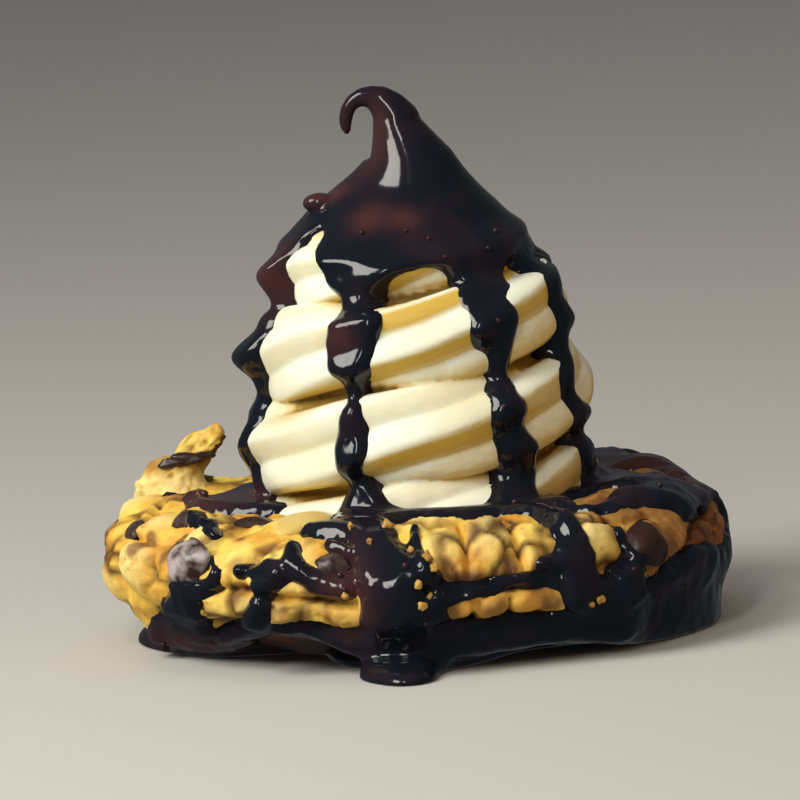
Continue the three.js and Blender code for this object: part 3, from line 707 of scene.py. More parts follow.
def rolled_over(table, radius):
    """The skin that a ball of that radius leaves when it rolls over a table of radii: dents fill up."""
    reach = int(radius / TABLE_CELL)
    span = range(-reach, reach + 1)
    lifts = [(i, j, radius**2 - TABLE_CELL**2 * (i * i + j * j)) for i in span for j in span]
    lifts = [(i, j, math.sqrt(lift)) for i, j, lift in lifts if lift > 0]
    columns = np.arange(table.shape[1])

    def grown(values):
        moved = []
        for i, j, lift in lifts:
            moved.append(np.roll(values, i, 0)[:, np.clip(columns + j, 0, columns[-1])] + lift)
        return np.maximum.reduce(moved)

    return -grown(-grown(table))


def look_up(table, row, column):
    """A table's value between its entries. Rows go round and columns end."""
    row, column = np.mod(row, table.shape[0]), np.clip(column, 0, table.shape[1] - 1.001)
    i, j = np.floor(row).astype(int) % table.shape[0], np.floor(column).astype(int)
    p, q = row - np.floor(row), column - j
    k = (i + 1) % table.shape[0]
    lower = table[i, j] * (1 - p) + table[k, j] * p
    upper = table[i, j + 1] * (1 - p) + table[k, j + 1] * p
    return lower * (1 - q) + upper * q


# A small ball dips into the valleys between the turns, and a large one rolls over pleats and valleys
SMALL_BALL = 2.4
LARGE_BALL = 6
swirl_reach = swirl_reach_table()
swirl_filled = rolled_over(swirl_reach, SMALL_BALL)
swirl_wrapped = rolled_over(swirl_reach, LARGE_BALL)


def swayed(x, y, z):
    """A point's azimuth, radius and height on an even swirl. The real one sways a little."""
    sway = 0.35 * np.sin(0.16 * x + 0.11 * z + 1) + 0.3 * np.sin(0.13 * y - 0.19 * z)
    azimuth = np.degrees(np.arctan2(x - SWIRL_X, -y)) % 360
    return azimuth, np.hypot(x - SWIRL_X, y) + 0.5 * sway, z + sway


def pleat_shade(points):
    """How much golden painted shade a pleat's lower flank gets. It is less towards the window light, and on
    the upper side of the two lower turns, which face the light too."""
    azimuth, r, z = swayed(*points.T)
    turns = [rope_gap(azimuth, r, z, turn) for turn in range(-1, 4)]
    gaps, parts = (np.array(values) for values in zip(*turns))
    nearest = np.argmin(gaps, axis=0)
    down = -np.take_along_axis(parts, nearest[None], 0)[0]
    t = azimuth / 360 + nearest - 1
    top_side = ease(z - rope_height(t), 1, 4) * (t < 1.7)
    turned = (azimuth + 180) % 360 - 180
    lit = (0.25 + 0.75 * ease(turned, -42, -12)) * (1 - 0.8 * top_side)
    return ease(down, 0.03, 0.25) * ease(down, 1.0, 0.72) * lit


def melted_lobe(x, y, z):
    """Below 0 inside the melted cream, which has run out over the cookie and bends down at its shoulder."""
    a = math.radians(MELT_AZIMUTH)
    along = x * math.sin(a) - y * math.cos(a) - MELT_DISTANCE
    across = x * math.cos(a) + y * math.sin(a)
    up = z - COOKIE_HEIGHT + 0.03 * np.maximum(along - 6, 0) ** 2
    long, wide, high = MELT_SIZE
    return 2 * (np.sqrt((along / long) ** 2 + (across / wide) ** 2 + (up / high) ** 2) - 1)


def cream_piece():
    """The swirl with its melted foot, cut from a grid, and what its material needs to know of each point:
    how deep it lies in a valley, which is painted as shade, and how much golden painted shade it gets."""
    low, high = np.array([-36.0, -44.0, 22.0]), np.array([38.0, 36.0, 86.0])
    x, y, z = np.meshgrid(*axes_of(low, high, CREAM_STEP), indexing="ij", sparse=True)
    field = np.maximum(swirl_field(*swayed(x, y, z)), COOKIE_HEIGHT - z + 0.1)
    melt = melted_lobe(x, y, z)
    melt = np.minimum(field, melt) - 0.4 * np.exp(-((field - melt) ** 2))
    field = np.where(z < LOWEST_TURN_TOP, melt, field)
    field = np.maximum(field, z - CROWN_HEIGHT)
    points, faces = skin_of(field, low, CREAM_STEP)
    way = (points - [SWIRL_X, 0, 0]) * [1, 1, 0]
    r = np.linalg.norm(way, axis=-1) + 1e-6
    shade = pleat_shade(points) * (r < 34.5)
    streaks = 0.12 * rough(points, 3.5) + 0.05 * rough(points * [1, 1, 2.5], 1.1)
    azimuth = np.degrees(np.arctan2(way[:, 0], -way[:, 1]))
    hollow = look_up(swirl_filled, azimuth, (points[:, 2] - TABLE_LOW) / TABLE_STEP) - r
    on_cookie = ease(r, 33.5, 36.5) * (points[:, 2] < 28.5)
    # Painted shade: the material makes the valleys golden and the deepest seams dark brown.
    valley = hollow / 2 * (1 - on_cookie)
    points = points + (streaks / r)[:, None] * way
    # The melted cream on the cookie gets the same golden as the painted shade.
    shade = np.maximum(shade, 0.9 * on_cookie)
    return new_piece("soft_serve_swirl", points, faces, valley=valley, shade=shade)


# Soft ice cream, pressed out cold: air whipped into milk, so light goes in and comes out again. Faces that
# turn down and away from the window light, the pleats' lower flanks and the hollows are painted golden:
# painted shade. The deepest seams are painted dark brown: painted shade. The melting skin has a soft wet
# sheen. The air bubbles are finer than 0.1 mm and are drawn 0.7 mm wide, so that they show.
def soft_ice_cream():
    material, tree = new_material("vanilla_soft_ice_cream")
    place = add_node(tree, "ShaderNodeTexCoord", output="Object")
    valley = add_node(tree, "ShaderNodeAttribute", output="Fac", attribute_name="valley")
    shade = add_node(tree, "ShaderNodeAttribute", output="Fac", attribute_name="shade")
    facing = add_node(tree, "ShaderNodeNewGeometry", output="Normal")
    # Painted shade: faces turned down and away from the window light are made golden.
    away = add_node(tree, "ShaderNodeVectorMath", {0: facing, 1: (0.7, 0.0, -0.71)}, operation="DOT_PRODUCT")
    painted_underside_shade = add_node(tree, "ShaderNodeMapRange", {0: away, 1: 0.05, 2: 0.5, 3: 0.0, 4: 0.8})
    painted_facing_and_pleat_shade = add_node(tree, "ShaderNodeMath", {0: painted_underside_shade, 1: shade}, operation="MAXIMUM")
    painted_golden_shade = add_node(tree, "ShaderNodeMath", {0: painted_facing_and_pleat_shade, 1: valley}, operation="ADD", use_clamp=True)
    skin = add_node(
        tree,
        "ShaderNodeMix",
        {0: painted_golden_shade, 6: linear("#f5f7e1"), 7: linear("#d8b552")},
        data_type="RGBA",
    )
    # Painted shade: the deepest seams between the turns are made dark brown.
    painted_seam_shade = add_node(tree, "ShaderNodeMapRange", {0: valley, 1: 0.62, 2: 0.95, 3: 0.0, 4: 0.75})
    colour = add_node(tree, "ShaderNodeMix", {0: painted_seam_shade, 6: skin, 7: linear("#6b4a1c")}, data_type="RGBA")
    bubbles = add_node(tree, "ShaderNodeTexNoise", {"Vector": place, "Scale": per_metre(0.714), "Detail": 2})
    bump = add_node(tree, "ShaderNodeBump", {"Height": bubbles, "Strength": 0.12, "Distance": 0.0003})
    ice_cream = add_node(
        tree,
        "ShaderNodeBsdfPrincipled",
        {
            "Base Color": colour,
            "Roughness": 0.42,
            "IOR": 1.36,
            "Subsurface Weight": 0.35,
            "Subsurface Radius": (1.0, 0.75, 0.35),
            "Subsurface Scale": 0.0008,
            "Normal": bump,
        },
    )
    add_node(tree, "ShaderNodeOutputMaterial", {"Surface": ice_cream})
    return material


cream = cream_piece()
cream.data.materials.append(soft_ice_cream())
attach(cream, "root")
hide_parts("soft_serve")

# The chocolate sauce
# One pour of warm dark chocolate sauce over the tip. It caps the swirl, runs down it in strips, pools
# round its foot, flows over the cookie's rim and stands in a puddle on the table. Its edges are rounded.
SAUCE_DEPTH = 1.8
EDGE_ROUNDING = 1.3
POOL_RADIUS = 35.5
SAUCE_STEP = 0.56
SWIRL_SPREAD = 0.53
COOKIE_SPREAD = 1.0

# The cap's lower edge round the swirl: azimuth and height
cap_edge = [
    (-180, 66), (-155, 63), (-130, 69), (-119, 62), (-100, 67), (-91, 64.5), (-80, 64.5), (-74, 68),
    (-68, 74), (-63, 78), (-57, 76.5), (-49, 73), (-44, 69), (-36, 66), (-27, 62), (-16, 66), (-9, 69),
    (-3, 70.7), (5, 71.2), (13, 70.4), (18, 68.5), (21, 65.5), (28, 62), (38, 64), (46, 65.5), (50, 67.5),
    (55, 69.5), (61, 69.5), (64, 66), (72, 64), (82, 68), (100, 68), (118, 62), (140, 68), (160, 62),
    (180, 66),
]
# Runs down the swirl: stations of azimuth, height and half width
swirl_runs = [
    [(-27, 74, 6.5), (-27, 66.5, 5.4), (-23, 61.5, 5.4), (-26, 56.5, 5.2), (-24, 54, 3.5), (-25, 50, 2.3),
     (-23, 46.5, 2.2), (-23.5, 43.5, 3.1), (-24.5, 39.5, 3.6), (-24.5, 33.5, 2.3), (-22.5, 29.5, 4.1),
     (-20, 25, 6.5)],
    [(31, 74, 6), (31.5, 68, 4.8), (27, 65, 4.8), (30.5, 60, 5.5), (31.5, 56.5, 3.5), (32, 54, 2.8),
     (31, 50, 2.3), (29, 48, 2.3), (31, 43, 4), (32, 39, 3.4), (35, 34.5, 4.6), (32, 31, 3.2), (30, 25, 6)],
    [(66, 70, 4), (70, 62, 3.8), (71, 58, 4.2), (68, 54.5, 3.3), (64.5, 52, 2.4), (60, 48, 2.6),
     (63, 43.5, 2.4), (67, 39.5, 3.6), (73, 34, 4), (79, 26, 6)],
    [(-83, 71, 6), (-80, 62, 3.6), (-78, 59, 3), (-82, 55.5, 5), (-86, 50, 4.4), (-87, 44, 4.2),
     (-84, 41, 2.8), (-84, 38, 2.8), (-88, 34, 4.4), (-86, 26, 6)],
    [(118, 70, 6), (119, 62, 3.6), (121, 56, 2.6), (123, 48, 2.8), (124, 42, 3.6)],
    [(160, 70, 6), (159, 60, 4.2), (157, 50, 3), (156, 42, 3.8), (155, 34, 3), (154, 25, 6)],
    [(205, 70, 5), (206, 60, 3.2), (208, 50, 2.6), (208, 40, 3.2), (209, 33, 2.6), (209, 25, 5)],
    [(241, 70, 6), (239, 62, 3.8), (237, 56, 2.8), (236, 50, 3.8)],
]
# Sauce on the cookie: stations of azimuth, way up the skin and half width
flows = [
    [(-20, 50, 8), (-14, 43, 6.5), (-11, 38, 5.4), (-8, 31, 5.2), (-6, 26, 5.8), (-4, 20, 6.8), (-3, 12, 9),
     (-3, 3, 10)],
    [(-27, 38.5, 1.8), (-22, 37, 3.0), (-14, 37.5, 4)],
    [(30, 48, 6), (33, 40, 3.6), (31, 34, 3.0), (30, 28, 3.0), (29, 23, 4.0), (33, 16, 6), (36, 8, 8)],
    [(73, 50, 33), (73, 10, 38)],
    [(-43, 27, 0.9), (-41, 24, 1.3), (-42, 20, 1.8), (-49, 18, 4.4), (-50, 15, 5), (-54, 11, 6),
     (-62, 8, 5.5), (-68, 6, 6)],
    [(-35, 24.5, 1.4), (-29, 25.5, 1.8), (-26, 24.5, 2.2), (-30, 21, 2.6), (-30, 17, 2.2), (-33, 11, 4)],
    [(-25, 30, 1.5), (-24, 27, 2.0), (-19, 23.5, 2.6), (-14, 22.5, 3.6)],
    [(-18, 32.5, 1.6), (-13, 30.5, 2.4)],
    [(-88, 48, 5), (-86, 44.5, 4.2), (-92, 42.5, 3.4), (-104, 41.5, 1.4)],
    [(-66, 37.5, 0.8), (-59, 36, 1.2), (-51, 34.5, 1.3), (-45, 31.5, 1.0)],
    [(-97, 40, 0.9), (-101, 36, 0.9)],
    [(0, 35, 0.9), (0, 30, 1.2), (2, 24, 2.4), (4, 20.5, 2.2)],
    [(4, 21.5, 1.7), (12, 21, 1.6), (20, 21.5, 1.8), (28, 21.5, 2.4)],
    [(23, 24.5, 1.3), (27, 23.5, 2.0), (31, 24, 3)],
    [(128, 48, 5), (128, 36, 4.2), (127, 24, 3.6), (129, 12, 4), (128, 3, 5)],
    [(156, 48, 7), (156, 38, 5.2), (157, 26, 4.6), (155, 14, 5), (156, 3, 6)],
    [(208, 48, 6), (208, 38, 4.4), (209, 28, 3.6), (207, 16, 4), (208, 3, 5)],
    [(180, 40, 2.2), (181, 32, 1.5), (180, 24, 2)],
    [(108, 42, 5), (106, 30, 2.6), (107, 22, 2.0), (107, 14, 2.4)],
]
# Crust that the sauce leaves bare at the right: stations as for the flows
bare = [
    [(38, 36, 2.4), (38.5, 31, 3), (38, 25, 2.4)],
    [(44, 33, 2), (48, 29, 5), (55, 27, 4.6)],
    [(46, 40, 2), (54, 44, 5), (60, 42, 4)],
    [(47, 19.5, 1.4), (51, 23, 1.6), (60, 25, 1.6), (76, 23.5, 3.2), (86, 24, 2.4)],
    [(84, 36, 2), (96, 39, 3)],
]
# The upper edge of the sauce that clings round the foot: azimuth and way up the skin
bank_edge = [
    (-180, 8), (-150, 6), (-120, 8), (-98, 5), (-84, 6), (-66, 8), (-52, 7), (-40, 9), (-28, 10.5),
    (-17, 11.5), (-8, 14), (3, 13.4), (12, 12.8), (24, 13), (30, 17), (42, 19), (56, 18.5), (66, 20),
    (80, 19), (92, 21), (100, 14), (115, 8), (135, 7), (156, 10), (180, 8),
]


def melted(a, b, k):
    """The larger of two values, run together over k where they are alike."""
    q = np.clip(0.5 + 0.5 * (a - b) / k, 0, 1)
    return b + (a - b) * q + k * q * (1 - q)


def joined(a, b, k):
    """Below 0 inside either body, run together over k where they meet."""
    return -melted(-a, -b, k)


def line_side(azimuth, height, line, spread, below):
    """How far a point lies outside the sauce that reaches up to a line, or down to it."""
    away = np.full(azimuth.shape, 99.0)
    for a, b in zip(line, line[1:]):
        away = np.minimum(away, line_gap(azimuth, height, a, b, spread)[0])
    level = np.interp((azimuth + 180) % 360 - 180, [p[0] for p in line], [p[1] for p in line])
    return np.where((height < level) == below, -away, away)


def pour(gap, azimuth, height, stations, spread):
    """Lays sauce along a path. gap is how far a point lies outside the sauce."""
    for a, b in zip(stations, stations[1:]):
        away, part = line_gap(azimuth, height, a, b, spread)
        gap = joined(gap, away - (a[2] + (b[2] - a[2]) * part), 0.8)
    return gap


def sauce_depth(gap, depth):
    """The depth of sauce at a distance outside its edge, below 0 inside it: rounded, with a thicker lip."""
    inside = np.maximum(-gap, 0)
    lip = 1 + 0.22 * np.exp(-(((inside - 2.2) / 1.5) ** 2))
    level = depth * (1 - np.exp(-inside / EDGE_ROUNDING)) * lip
    return np.where(gap < 0, level, np.maximum(-2.4 * gap, -4))


def blurred(table, rounds):
    """A table smoothed over its neighbours."""
    for _ in range(rounds):
        table = (table + np.roll(table, 1, 0) + np.roll(table, -1, 0)) / 3
        wide = np.pad(table, ((0, 0), (1, 1)), mode="edge")
        table = (wide[:, :-2] + wide[:, 1:-1] + wide[:, 2:]) / 3
    return table


def swirl_coat_tables():
    """The coat's outer and inner radius. It follows the pleats at its edges and wraps them further in."""
    place = around(table_azimuth, swirl_reach, table_z)
    gap = line_side(table_azimuth, table_z, cap_edge, SWIRL_SPREAD, False)
    for stations in swirl_runs:
        gap = pour(gap, table_azimuth, table_z, stations, SWIRL_SPREAD)
    gap = gap + 0.7 * rough(place, 3.5)
    filled = swirl_filled + (swirl_wrapped - swirl_filled) * ease(-gap, 0.8, 5)
    skin = swirl_reach + (filled - swirl_reach) * ease(-gap, -1, 1.5)
    lobe = 3.4 * near(table_azimuth, -82, 16) * np.exp(-(((table_z - 69) / 4.5) ** 2)) * ease(-gap, 0, 3)
    flap = 2.0 * near(table_azimuth, -86, 12) * np.exp(-(((table_z - 54) / 3.5) ** 2)) * ease(-gap, 0, 2)
    outer = skin + sauce_depth(gap, SAUCE_DEPTH) + lobe + flap + 0.5 * rough(place + 31, 6) * (gap < 0)
    return blurred(outer, 1), np.where(table_z >= CROWN_HEIGHT - 1, 4, swirl_reach - 1.2)


swirl_coat, swirl_coat_inside = swirl_coat_tables()


def coat_on_swirl(x, y, z):
    """Below 0 inside the sauce on the swirl, which closes over the crown in a sloping shelf."""
    azimuth, r = np.degrees(np.arctan2(x - SWIRL_X, -y)) % 360, np.hypot(x - SWIRL_X, y)
    row, column = np.broadcast_arrays(azimuth, (z - TABLE_LOW) / TABLE_STEP)
    outside, inside = (look_up(table, row, column) for table in (swirl_coat, swirl_coat_inside))
    field = 0.8 * np.maximum(r - outside, inside - r)
    shelf = 0.8 * (z - shelf_top(azimuth) + SHELF_SLOPE * (r - SHELF_RADIUS))
    return melted(melted(field, shelf, 1.5), TABLE_LOW + 0.6 - z, 0.5)


# The sauce's own tip. Its stem: height, x of the middle and radius. Its curl: x, height and radius.
stem = [
    (74, 4, 15), (79, 4.4, 13.4), (83, 4.5, 11.6), (86.8, 3.9, 9.8), (91, 3.5, 7.6), (94.2, 2.3, 5.9),
    (97, 1.2, 4.6), (99, 0.4, 3.6),
]
curl = [
    (1.2, 96.8, 4.4), (0.1, 99, 3.6), (-1.6, 100.9, 2.8), (-3.4, 101.8, 2.1), (-5.2, 101.9, 1.7),
    (-6.9, 101.1, 1.45), (-8, 99.7, 1.35), (-8.5, 98, 1.3), (-8.6, 96.6, 1.1), (-8.4, 95.6, 0.7),
]


def tip(x, y, z):
    """Below 0 inside the stem and its curl, which hangs over to the left."""
    heights, middles, radii = (np.array(stem)[:, k] for k in range(3))
    field = 0.85 * (np.hypot(x - np.interp(z, heights, middles), y) - np.interp(z, heights, radii))
    field = melted(melted(field, z - 99, 1), 76 - z, 1)
    stops = np.linspace(0, len(curl) - 1, 80)
    for px, pz, radius in zip(*(np.interp(stops, range(len(curl)), np.array(curl)[:, k]) for k in range(3))):
        field = np.minimum(field, np.sqrt((x - px) ** 2 + y**2 + (z - pz) ** 2) - radius)
    return field


def shoulder_drop(x, y, z):
    """A drop that stands on the cap's left shoulder."""
    return 1.8 * (np.sqrt(((x + 14.4) / 3.2) ** 2 + ((y + 3) / 2.2) ** 2 + ((z - 82.6) / 1.9) ** 2) - 1)


def pool_reach(azimuth):
    """How far the pool round the swirl's foot has spread over the cookie."""
    lobes = [
        (-84, 7), (-18, 5), (29, 5), (60, 12), (92, 13), (118, 13), (154, 7), (209, 5), (-52, -5),
        (-35, -8), (10, -2),
    ]
    spread = sum(more * near(azimuth, at, 15) for at, more in lobes)
    return POOL_RADIUS + spread + 1.2 * np.sin(9 * np.radians(azimuth))


def cookie_coat_tables():
    """The coat's outer and inner height over the smooth cookie, by azimuth and the way up the skin."""
    rows, columns = np.arange(0, 360, TABLE_STEP), np.arange(0, 62, TABLE_STEP)
    azimuth, run = np.meshgrid(rows, columns, indexing="ij")
    place, out = cookie_side(azimuth, run)
    relief = cookie_relief(azimuth, run, place)
    r = np.hypot(place[..., 0], place[..., 1])
    gap = np.where(run > 36, r - pool_reach(azimuth), 99)
    gap = joined(gap, line_side(azimuth, run, bank_edge, COOKIE_SPREAD, True), 0.8)
    for stations in flows:
        gap = pour(gap, azimuth, run, stations, COOKIE_SPREAD)
    for stations in bare:
        gap = melted(gap, -pour(99 + 0 * gap, azimuth, run, stations, COOKIE_SPREAD), 0.8)
    gap = gap + 0.8 * rough(place, 3.4) + 0.35 * rough(place + 70, 1.5)
    crust = relief + np.maximum(crumb_relief(place + relief[..., None] * out)[0], -0.2) * ease(run, 0.5, 4)
    under_sauce = np.maximum(blurred(relief, 24), crust - 0.4 - 1.2 * ease(run, 35, 40)) + 0.3
    skin = crust + (under_sauce - crust) * ease(-gap, 0.4, 4)
    lumpy = 0.3 * rough(place + 50, 3.2) + 0.16 * rough(place + 80, 1.6)
    film = 1 - 0.6 * near(azimuth, -33, 20) * ease(run, 9, 3) - 0.5 * near(azimuth, 25, 26) * ease(run, 9, 3)
    outer = skin + sauce_depth(gap, SAUCE_DEPTH * film) + lumpy * ease(-gap, 0, 1.5) * ease(run, 40, 36)
    return outer, relief - 1.3


def cookie_place_of(azimuth, r, z):
    """For points round the cookie: the way up its skin, and how far they stand off it."""
    equator, radius = cookie_equator(azimuth), cookie_radius(azimuth)
    upper = z >= equator
    a = np.where(upper, COOKIE_SHOULDER, cookie_undercut(azimuth))
    b = np.where(upper, COOKIE_HEIGHT - equator, equator - cookie_lift(azimuth))
    u, v = (r - radius + a) / a, np.abs(z - equator) / b
    from_middle = np.hypot(u, v) + 1e-6
    gap = (from_middle - 1) * from_middle / (np.hypot(u / a, v / b) + 1e-6)
    psi = np.arctan2(v, u) / (np.pi / 2)
    run = np.where(upper, SIDE_LOW + (SIDE_HIGH - SIDE_LOW) * psi, SIDE_LOW * (1 - psi))
    over = np.where(upper, SIDE_HIGH + radius - COOKIE_SHOULDER - r, 0)
    return np.where(u > 0, run, over), np.where(u > 0, gap, (v - 1) * b)


cookie_coat, cookie_coat_inside = cookie_coat_tables()


def coat_on_cookie(x, y, z):
    """Below 0 inside the sauce on the cookie."""
    azimuth, r = np.degrees(np.arctan2(x, -y)) % 360, np.hypot(x, y)
    run, gap = cookie_place_of(azimuth, r, z)
    row, column = np.broadcast_arrays(azimuth / TABLE_STEP, run / TABLE_STEP)
    outside, inside = (look_up(table, row, column) for table in (cookie_coat, cookie_coat_inside))
    field = 0.85 * np.maximum(gap - outside, inside - gap)
    return np.maximum(field, 28 - r)


def puddle_reach(azimuth):
    """How far from the middle the puddle round the foot ends."""
    waves = 1.4 * np.sin(4 * np.radians(azimuth) + 1) + 0.9 * np.sin(11 * np.radians(azimuth))
    notch = 21 * near(azimuth, -39, 25) + 4 * near(azimuth, -85, 26) + 16 * near(azimuth, 33, 30)
    return cookie_radius(azimuth) - 1.5 - notch + waves


def slab(edge, above, rounding):
    """A flat body with a rounded upper edge, from how far a point lies outside its edge and over its top."""
    out, up = edge + rounding, above + rounding
    return np.hypot(np.maximum(out, 0), np.maximum(up, 0)) + np.minimum(np.maximum(out, up), 0) - rounding


TONGUE_AZIMUTH = -3.5


def puddle(x, y, z):
    """The puddle round the foot, with the long tongue that the main flow pushes out over the table."""
    azimuth, r = np.degrees(np.arctan2(x, -y)) % 360, np.hypot(x, y)
    ring = melted(slab(r - puddle_reach(azimuth), z - 2.9, 2.6), 30 - r, 1)
    turn = math.radians(TONGUE_AZIMUTH)
    along = x * math.sin(turn) - y * math.cos(turn) - 52
    across = x * math.cos(turn) + y * math.sin(turn) + 0.8 * np.sin(0.35 * along)
    tongue = slab((np.hypot(along / 14.5, across / 7.8) - 1) * 8, z - 4.2 + 0.09 * along, 3.4)
    return joined(ring, tongue, 2.5)


# Red-brown places, partly sauce drawn thin over an edge and partly a painted reflection: azimuth, height,
# width round and width up
thin_and_reflection_places = [
    (-20, 80.5, 15, 2.4), (6, 80, 12, 2), (-78, 69, 12, 6), (-78, 84, 16, 1.6), (-45, 95, 45, 7),
    (-24, 60, 6, 3), (-84, 27, 14, 3), (-60, 3, 16, 3), (-13, 16, 5, 8), (98, 27, 16, 4),
]


def sauce_piece():
    """The whole pour: its bodies run together on one grid, each over k mm, and are cut flat by the table."""
    low, high = np.array([-62.0, -69.0, -1.2]), np.array([62.0, 62.6, 106.0])
    axes = axes_of(low, high, SAUCE_STEP)
    field = np.full([len(axis) for axis in axes], 9.0)
    bodies = [
        (coat_on_swirl, (-36, -38, 23), (42, 38, 90), 1.0),
        (tip, (-20, -24, 72), (28, 24, 106), 2.6),
        (shoulder_drop, (-24, -12, 76), (-6, 6, 90), 0.7),
        (coat_on_cookie, low, (62, 62.6, 36), 1.6),
        (puddle, low, (62, 62.6, 12), 2.2),
    ]
    for body, start, end, k in bodies:
        part = tuple(slice(*np.searchsorted(axis, (a, b))) for axis, a, b in zip(axes, start, end))
        x, y, z = np.meshgrid(*(axis[s] for axis, s in zip(axes, part)), indexing="ij", sparse=True)
        field[part] = joined(field[part], body(x, y, z), k)
    field = melted(field, -axes[2], 0.6)
    points, faces = skin_of(field, low, SAUCE_STEP)
    azimuth, z = np.degrees(np.arctan2(points[:, 0], -points[:, 1])), points[:, 2]
    # thin is made red-brown by the material: partly thin sauce and partly a painted reflection.
    thin = 0
    for at, level, wide, tall in thin_and_reflection_places:
        thin = thin + near(azimuth, at, wide) * np.exp(-(((z - level) / tall) ** 2))
    return new_piece("chocolate_sauce_pour", points, faces, thin=thin)


# Chocolate sauce, poured warm: cocoa and sugar in cream, nearly black where it is deep and red-brown where
# it is thin, in patches 11 mm wide, with a wet skin that mirrors the lamps in crisp spots. Part of the
# red-brown is a painted reflection.
def wet_sauce():
    material, tree = new_material("wet_dark_chocolate_sauce")
    place = add_node(tree, "ShaderNodeTexCoord", output="Object")
    thin = add_node(tree, "ShaderNodeAttribute", output="Fac", attribute_name="thin")
    patches = add_node(tree, "ShaderNodeTexNoise", {"Vector": place, "Scale": per_metre(11.1), "Detail": 2})
    patch_part = add_node(tree, "ShaderNodeMapRange", {0: patches, 1: 0.5, 2: 0.75, 3: 0.0, 4: 0.25})
    thin_and_reflection_part = add_node(tree, "ShaderNodeMath", {0: thin, 1: patch_part}, operation="ADD", use_clamp=True)
    colour = add_node(
        tree,
        "ShaderNodeMix",
        {0: thin_and_reflection_part, 6: linear("#131720"), 7: linear("#45292a")},
        data_type="RGBA",
    )
    chocolate = add_node(
        tree,
        "ShaderNodeBsdfPrincipled",
        {"Base Color": colour, "Roughness": 0.1, "IOR": 1.4},
    )
    add_node(tree, "ShaderNodeOutputMaterial", {"Surface": chocolate})
    return material


sauce = sauce_piece()
sauce_skin = wet_sauce()
sauce.data.materials.append(sauce_skin)
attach(sauce, "root")
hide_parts("chocolate_sauce")

# Crumbs and bubbles
# Crumbs that broke off the cookie as the sauce pushed over its rim and stuck in it, and bubbles of air that
# stand half out of its skin. On the cookie each has its azimuth, way up the skin and size, on the swirl its
# azimuth, height and size.
crumbs_on_cookie = [
    (2, 27, 0.9), (3, 25, 0.7), (-1, 29.5, 0.8), (0, 22.5, 0.8), (0.5, 19, 0.9), (2, 20.5, 0.6),
    (-6, 35, 0.9), (-3, 36.5, 0.7), (-14, 35.5, 0.6), (-9, 31, 0.6), (4, 30.5, 1.1), (5.5, 28.5, 0.8),
    (-13, 21, 0.6), (33.5, 17, 0.8), (31.5, 16.2, 0.5), (-45, 14.5, 0.6), (-42, 13.5, 0.5),
    (-28, 13, 0.4), (-24, 13.5, 0.4),
]
bubbles_on_cookie = [
    (-88, 44, 0.8), (-13, 27, 0.7), (-14, 24.5, 0.6), (-13, 22, 0.5), (-12, 18.5, 0.6), (-2, 25.5, 0.6),
    (1, 16, 0.5), (-70, 8, 0.9), (-66, 9, 0.7), (34, 27, 0.5), (40, 26.5, 0.5), (46, 23.5, 0.5),
    (52, 21.5, 0.4), (29, 45, 0.6), (20, 44, 0.5), (-5, 8, 0.6), (-9, 45, 0.6), (37, 24, 0.6),
    (41, 21, 0.5), (44, 20.5, 0.4), (36, 29, 0.5), (49, 19, 0.4), (57, 16, 0.4), (26, 15.5, 0.4),
    (40, 14, 0.4), (62, 34, 0.5),
]
bubbles_on_swirl = [
    (-30, 78, 0.5), (-3, 78, 0.4), (10, 76.5, 0.4), (15.6, 73.3, 0.4), (53.6, 76.5, 0.5), (40, 73.9, 0.4),
    (29, 61.5, 0.5), (27, 45.7, 0.5), (26, 33.5, 0.6), (-24, 62, 0.4), (-25, 41, 0.4), (66, 47, 0.4),
]


def on_cookie_coat(azimuth, run, size):
    """A bit's middle on the sauce over the cookie, and its three half widths."""
    place, out = cookie_side(np.array(azimuth), np.array(run))
    depth = look_up(cookie_coat, azimuth / TABLE_STEP, run / TABLE_STEP)
    return [*(place + (depth + 0.15) * out), size, size, size]


def on_swirl_coat(azimuth, z, size):
    """A bit's middle on the sauce over the swirl, and its three half widths."""
    r = look_up(swirl_coat, azimuth, (z - TABLE_LOW) / TABLE_STEP)
    return [*around(azimuth, r, z, SWIRL_X), size, size, size]


crumb_places = [on_cookie_coat(*bit) for bit in crumbs_on_cookie]
bubble_places = [on_cookie_coat(*bit) for bit in bubbles_on_cookie]
bubble_places += [on_swirl_coat(*bit) for bit in bubbles_on_swirl]
cookie_crumbs = bits_piece("cookie_crumbs", crumb_places, 0.6, dent=0.1, raised=0.4, brown=0.45)
sauce_bubbles = bits_piece("sauce_bubbles", bubble_places, 0.06, thin=0.6)
stuck_in_sauce = [(cookie_crumbs, dough, "baked_dough"), (sauce_bubbles, sauce_skin, "chocolate_sauce")]
for piece, material, slot in stuck_in_sauce:
    piece.data.materials.append(material)
    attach(piece, "root")

# The setting
# A plain pale floor, a soft studio window from the left, a narrow one nearer the front, a weak warm glow
# from the right and a wide faint ceiling light. The camera looks 8 degrees down from far off, as the
# photograph's did.
FLOOR_HALF = 3.0
floor_mesh = bpy.data.meshes.new("floor")
corners = [(x * FLOOR_HALF, y * FLOOR_HALF, 0) for x, y in ((-1, -1), (1, -1), (1, 1), (-1, 1))]
floor_mesh.from_pydata(corners, [], [(0, 1, 2, 3)])
floor = bpy.data.objects.new("floor", floor_mesh)
bpy.context.scene.collection.objects.link(floor)
# Matt studio card: pale grey and rough, so the light falls off softly over it
floor_material, floor_tree = new_material("matt_studio_card")
card = add_node(floor_tree, "ShaderNodeBsdfPrincipled", {"Base Color": linear("#c6c3bd"), "Roughness": 0.9})
add_node(floor_tree, "ShaderNodeOutputMaterial", {"Surface": card})
floor_mesh.materials.append(floor_material)
# The sauce doesn't mirror the floor, as when a dark card stands low in front of the food
floor.visible_glossy = False


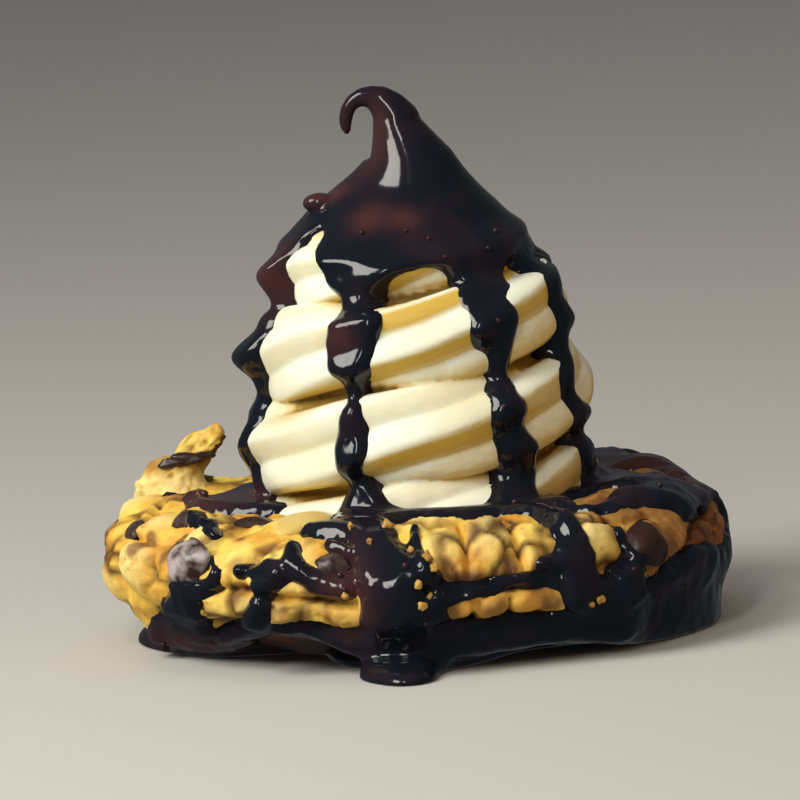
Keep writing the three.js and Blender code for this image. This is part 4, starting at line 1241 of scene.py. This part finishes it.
# The lamps look at the middle of the part, in metres above the floor
LAMP_AIM = 0.045


def add_lamp(name, azimuth, elevation, distance, size, watts, code, mirrored=True):
    """A soft rectangular lamp. The sauce mirrors it or doesn't."""
    lamp = bpy.data.lights.new(name, "AREA")
    lamp.shape = "RECTANGLE"
    lamp.size, lamp.size_y = size
    lamp.energy = watts
    lamp.color = linear(code)[:3]
    lamp_object = bpy.data.objects.new(name, lamp)
    a, e = math.radians(azimuth), math.radians(elevation)
    level = distance * math.cos(e)
    lamp_object.location = (level * math.sin(a), -level * math.cos(a), LAMP_AIM + distance * math.sin(e))
    lamp_object.rotation_euler = (math.pi / 2 - e, 0, a)
    lamp_object.visible_glossy = mirrored
    bpy.context.scene.collection.objects.link(lamp_object)


add_lamp("window_light", -58, 40, 0.9, (0.42, 0.46), 7.8, "#fffdf4")
add_lamp("strip_light", -14, 34, 0.9, (0.08, 0.4), 1.6, "#fffdf8")
add_lamp("warm_fill", 60, 25, 0.9, (0.8, 0.6), 1.1, "#ffc572", False)
add_lamp("ceiling_light", 0, 90, 2.2, (2.6, 2.6), 12, "#ffffff", False)
world = bpy.data.worlds.new("studio")
bpy.context.scene.world = world
world.use_nodes = True
world.node_tree.nodes["Background"].inputs["Color"].default_value = linear("#d8dbe0")
world.node_tree.nodes["Background"].inputs["Strength"].default_value = 0.12

# The camera's place and aim, in metres
CAMERA_DISTANCE = 1.6
CAMERA_ELEVATION = math.radians(8)
CAMERA_TURN = math.radians(-3.3)
CAMERA_ASIDE = -0.00131
CAMERA_AIM = 0.0437
VIEW_WIDTH = 0.152
camera = bpy.data.cameras.new("camera")
camera.angle = 2 * math.atan(VIEW_WIDTH / 2 / CAMERA_DISTANCE)
camera_object = bpy.data.objects.new("camera", camera)
level = CAMERA_DISTANCE * math.cos(CAMERA_ELEVATION)
camera_object.location = (CAMERA_ASIDE, -level, CAMERA_AIM + CAMERA_DISTANCE * math.sin(CAMERA_ELEVATION))
camera_object.rotation_euler = (math.pi / 2 - CAMERA_ELEVATION, 0, 0)
camera_object.rotation_euler.rotate_axis("Z", CAMERA_TURN)
bpy.context.scene.collection.objects.link(camera_object)
bpy.context.scene.camera = camera_object
bpy.context.scene.view_settings.view_transform = "Standard"
